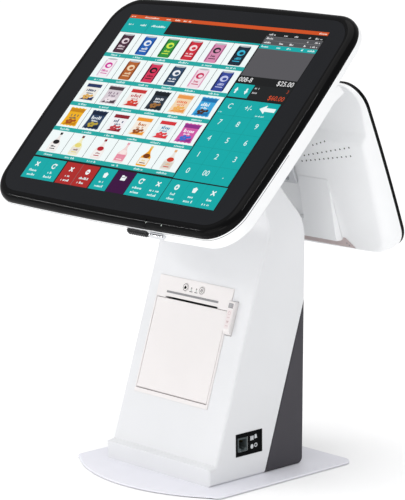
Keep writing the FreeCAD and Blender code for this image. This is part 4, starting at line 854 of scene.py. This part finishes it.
def shell_skin(bm):
    """The shell's outer skin: the front outline drawn in along a rounded side, then closed over the back."""
    front, outline = front_edge("customer_shell", CUSTOMER)
    low, high = box_in("customer_shell", CUSTOMER)
    middle_y = (low.y + high.y) / 2
    stations = even_outline(outline, AROUND)
    rings = []
    for k in range(RINGS + CAPS):
        angle = math.radians(90 * min(1.0, k / (RINGS - 1)))
        side = front - (front + SIDE_DEPTH) * math.sin(angle)
        ring = []
        for x, y, nx, ny in stations:
            inset = (CORNER_SIDE * nx * nx + CORNER_END * ny * ny) * (1 - math.cos(angle))
            px, py = x - nx * inset, y - ny * inset
            if k >= RINGS:
                share = 1 - (k - RINGS + 1) / (CAPS + 0.5)
                px, py = px * share, middle_y + (py - middle_y) * share
            level = back_depth(py)
            depth = (side + level + math.hypot(side - level, ROUND)) / 2
            ring.append(bm.verts.new((px, py, min(front, depth) if k else front)))
        rings.append(ring)
    for inner, outer in zip(rings, rings[1:]):
        bridge(bm, inner, outer)
    bm.faces.new(rings[-1])


def vent_shade_rods(bm):
    """A short rod through the skin at each vent, in the glass's frame, whose black becomes the vent's painted
    shade.
    """
    swap = CUSTOMER.inverted() @ SHELL
    for x, y, level in vent_spots():
        spot = swap @ (Vector((x, y, level)) * MM) / MM
        prism(bm, rounded(spot.x, spot.y, 1, 1, 14), spot.z - 1.5, spot.z + 0.9)


def soft_shell():
    """The skin with its thickness, and a dimple at each vent whose wall and floor are black, as painted
    shade.
    """
    skin, tool = add("skin", mesh_of(shell_skin)), add("tool", mesh_of(vent_shade_rods))
    skin.data.materials.append(FINISH["rear_white_painted_light"])
    # The rods' black, carried into each vent's wall and floor, is painted shade.
    tool.data.materials.append(FINISH["black_plastic"])
    give(skin.modifiers.new("wall", "SOLIDIFY"), thickness=2.4, offset=-1, use_even_offset=False)
    made = carved(skin, tool, material_mode="TRANSFER")
    made.transform(CUSTOMER @ Matrix.Scale(MM, 4))
    made.shade_smooth()
    made.set_sharp_from_angle(angle=math.radians(38))
    piece = add("rear_shell", made)
    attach(piece, "customer_display")
    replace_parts(piece, "customer_shell")


soft_shell()

# ---------------------------------------------------------------- printed marks on the printer
PRINTER = flat_frame("printer_bezel", (0, -1, 0.3))


def mark_on(node):
    """A picture whose origin is the middle of a node's front, in the printer's frame."""
    low, high = box_in(node, PRINTER)
    middle_spot = Vector(((low.x + high.x) / 2, (low.y + high.y) / 2, high.z))
    return Picture(PRINTER @ Matrix.Translation(middle_spot * MM), 0, 0, printed)


feed = mark_on("feed_button")
feed.ring("ink", 0, 0, 3.6, 0.5)
feed.shape("ink", [(-2.3, 0.9), (-1.3, -0.9), (0.1, -2.2), (0.9, -0.9), (1.9, 0.1), (1.4, 1.3), (0.2, 1.9),
                   (-1.6, 1.8)])
feed.build("feed_icon", "feed_button", "black_plastic")
switch = mark_on("printer_power_button")
switch.ring("ink", 0, 0, 3.6, 0.5)
switch.ring("ink", 0, 0.2, 1.4, 0.7, 1, -60, 240)
switch.line("ink", 0, -2.2, 0, 0.3, 0.7, 2)
switch.build("power_icon", "printer_power_button", "black_plastic")

lamp_low, lamp_high = box_in("printer_lamps", PRINTER)
lamp_radius = 0.95
marks = Picture(PRINTER, 0, 0, printed)
for x in (lamp_low.x + lamp_radius, lamp_high.x - lamp_radius):
    mark = marks.at(x, -(lamp_low.y + lamp_high.y) / 2)
    mark.line("ink", -2.4, 2.0, 2.4, 2.0, 0.7)
    mark.shape("ink", [(-1.0, -1.3), (0, -3.0), (1.0, -1.3)])
marks.build("lamp_marks", "base", "black_plastic")

lever_low, lever_high = box_in("lid_lever", PRINTER)
lever = Picture(PRINTER @ Matrix.Translation((0, 0, lever_high.z * MM)), (lever_low.x + lever_high.x) / 2,
                lever_high.y, printed)
lever.bar("mark_grey", -3.7, 2.4, 3.3, 7.6)
for i in range(3):
    lever.line("pale_ink", -2.8, 3.7 + 1.2 * i, 2.4, 3.7 + 1.2 * i, 0.3, 2)
lever.bar("lever_rose", -3.5, 9.4, 3.1, 29.6)
lever.ring("rose_ink", -0.2, 13.0, 1.7, 0.5, 2)
lever.shape("rose_ink", [(-2.2, 21.2), (1.8, 21.2), (-0.2, 24.2)], 2)
for y in (17.6, 26.6):
    lever.line("rose_ink", -2.2, y, 1.8, y, 0.6, 2)
lever.build("lever_marks", "lid_lever", "printer_white")

# ---------------------------------------------------------------- the port label and the jack's contacts
LABEL = flat_frame("port_label", (1, 0, 0))
icons = Picture(LABEL, 0, 0, printed)
pair = icons.at(4.0, -4.6)
for x in (-1.3, 1.3):
    pair.bar("pale_ink", x - 1.0, -2.4, x + 1.0, 2.2)
pair.line("pale_ink", -2.2, 0, 2.2, 0, 0.7, 2)
icons.disc("pale_ink", 4.0, 4.4, 2.1, 2.5)
icons.at(9.6, -5.6).shape("pale_ink", [(-1.6, -2.2), (0.8, -2.6), (1.9, 2.0), (-1.9, 2.0)])
icons.ring("pale_ink", 9.6, 3.6, 1.8, 0.9, sides=16)
icons.build("label_icons", "base", "black_plastic")

jack_low, jack_high = box_in("cash_drawer_jack", LABEL)


def contacts(bm):
    """Six sprung wires that rise from the back of the jack's mouth."""
    count, pitch, width = 6, 1.27, 0.5
    path = [(12.6, -11.0), (9.0, -4.0), (9.6, -3.2), (13.0, -10.4)]
    for i in range(count):
        x = (jack_low.x + jack_high.x) / 2 + (i - (count - 1) / 2) * pitch
        left, right = ([bm.verts.new((x + side, jack_low.y + y, jack_high.z + z)) for y, z in path]
                       for side in (-width / 2, width / 2))
        bm.faces.new(left)
        bm.faces.new(right[::-1])
        bridge(bm, left, right)


solid("jack_contacts", contacts, [FINISH["gold"]], LABEL, "base")


# ---------------------------------------------------------------- screws with cross recesses
def lathed(bm, profile, sides=28):
    """A closed solid of revolution about z from (radius, height) points that start and end on the axis."""
    rings = []
    for radius, height in profile:
        outline = rounded(0, 0, radius, radius, sides) if radius else [(0, 0)]
        rings.append([bm.verts.new((x, y, height)) for x, y in outline])
    for low, high in zip(rings, rings[1:]):
        for i in range(sides):
            j = (i + 1) % sides
            corners = [low[i % len(low)], low[j % len(low)], high[j % len(high)], high[i % len(high)]]
            bm.faces.new(list(dict.fromkeys(corners)))


def screw_mesh(radius, shank, length):
    """A screw whose head's outer face is at z 0 and whose thread runs down, in millimetres."""
    def body(bm):
        profile = [(0, 0), (radius * 0.62, 0), (radius * 0.9, -0.18), (radius, -0.5), (radius, -0.95),
                   (shank, -1.0)]
        level = -1.6
        while level > -length + 0.8:
            profile += [(shank * 0.86, level), (shank, level - 0.3)]
            level -= 0.6
        profile += [(shank * 0.6, -length), (0, -length)]
        lathed(bm, profile)

    def recess(bm):
        arm, half = radius * 0.55, radius * 0.14
        outline = [(half, half), (half, arm), (-half, arm), (-half, half), (-arm, half), (-arm, -half),
                   (-half, -half), (-half, -arm), (half, -arm), (half, -half), (arm, -half), (arm, half)]
        prism(bm, outline, -0.8, 0.5)

    return carved(add("screw_body", mesh_of(body)), add("screw_tool", mesh_of(recess)))


def screws(node, name, body, place, outward):
    """Four cross-head screws in place of the plain ones, one in each corner of their box."""
    spots = spots_in(node, place)
    low, high = extent(spots)
    radius, shank, reach = 3.6, 2.0, 6
    flip = Matrix() if outward > 0 else Matrix.Rotation(math.pi, 4, "X")
    chance = random.Random(len(name))

    def fill(bm):
        for x in (low.x + radius, high.x - radius):
            for y in (low.y + radius, high.y - radius):
                depths = [p.z for p in spots if abs(p.x - x) < reach and abs(p.y - y) < reach]
                one = screw_mesh(radius, shank, max(depths) - min(depths))
                turn = Matrix.Rotation(chance.uniform(0, math.pi / 2), 4, "Z")
                head = Vector((x, y, max(depths) if outward > 0 else min(depths)))
                one.transform(Matrix.Translation(head) @ flip @ turn)
                bm.from_mesh(one)
                bpy.data.meshes.remove(one)

    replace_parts(solid(name, fill, [FINISH["screw"]], place, body), node)


# The frame of the rear cover: z out of the terminal's back, y up.
REAR = Matrix(((-1, 0, 0), (0, 0, 1), (0, 1, 0))).to_4x4()
screws("cover_screws", "rear_cover_screws", "base", REAR, 1)
screws("base_screws", "plate_screws", "base", Matrix(), -1)
screws("bracket_screws", "tilt_bracket_screws", "main_display", DISPLAY, -1)
screws("customer_screws", "customer_bracket_screws", "customer_display", CUSTOMER, -1)

# ---------------------------------------------------------------- floor
floor = add("floor", mesh_of(lambda bm: bmesh.ops.create_grid(bm, x_segments=1, y_segments=1, size=30)))
floor.data.materials.append(surface("pale_floor", "ffffff", 0.9, mottle=0.0, grain=0.01, depth=0.0))
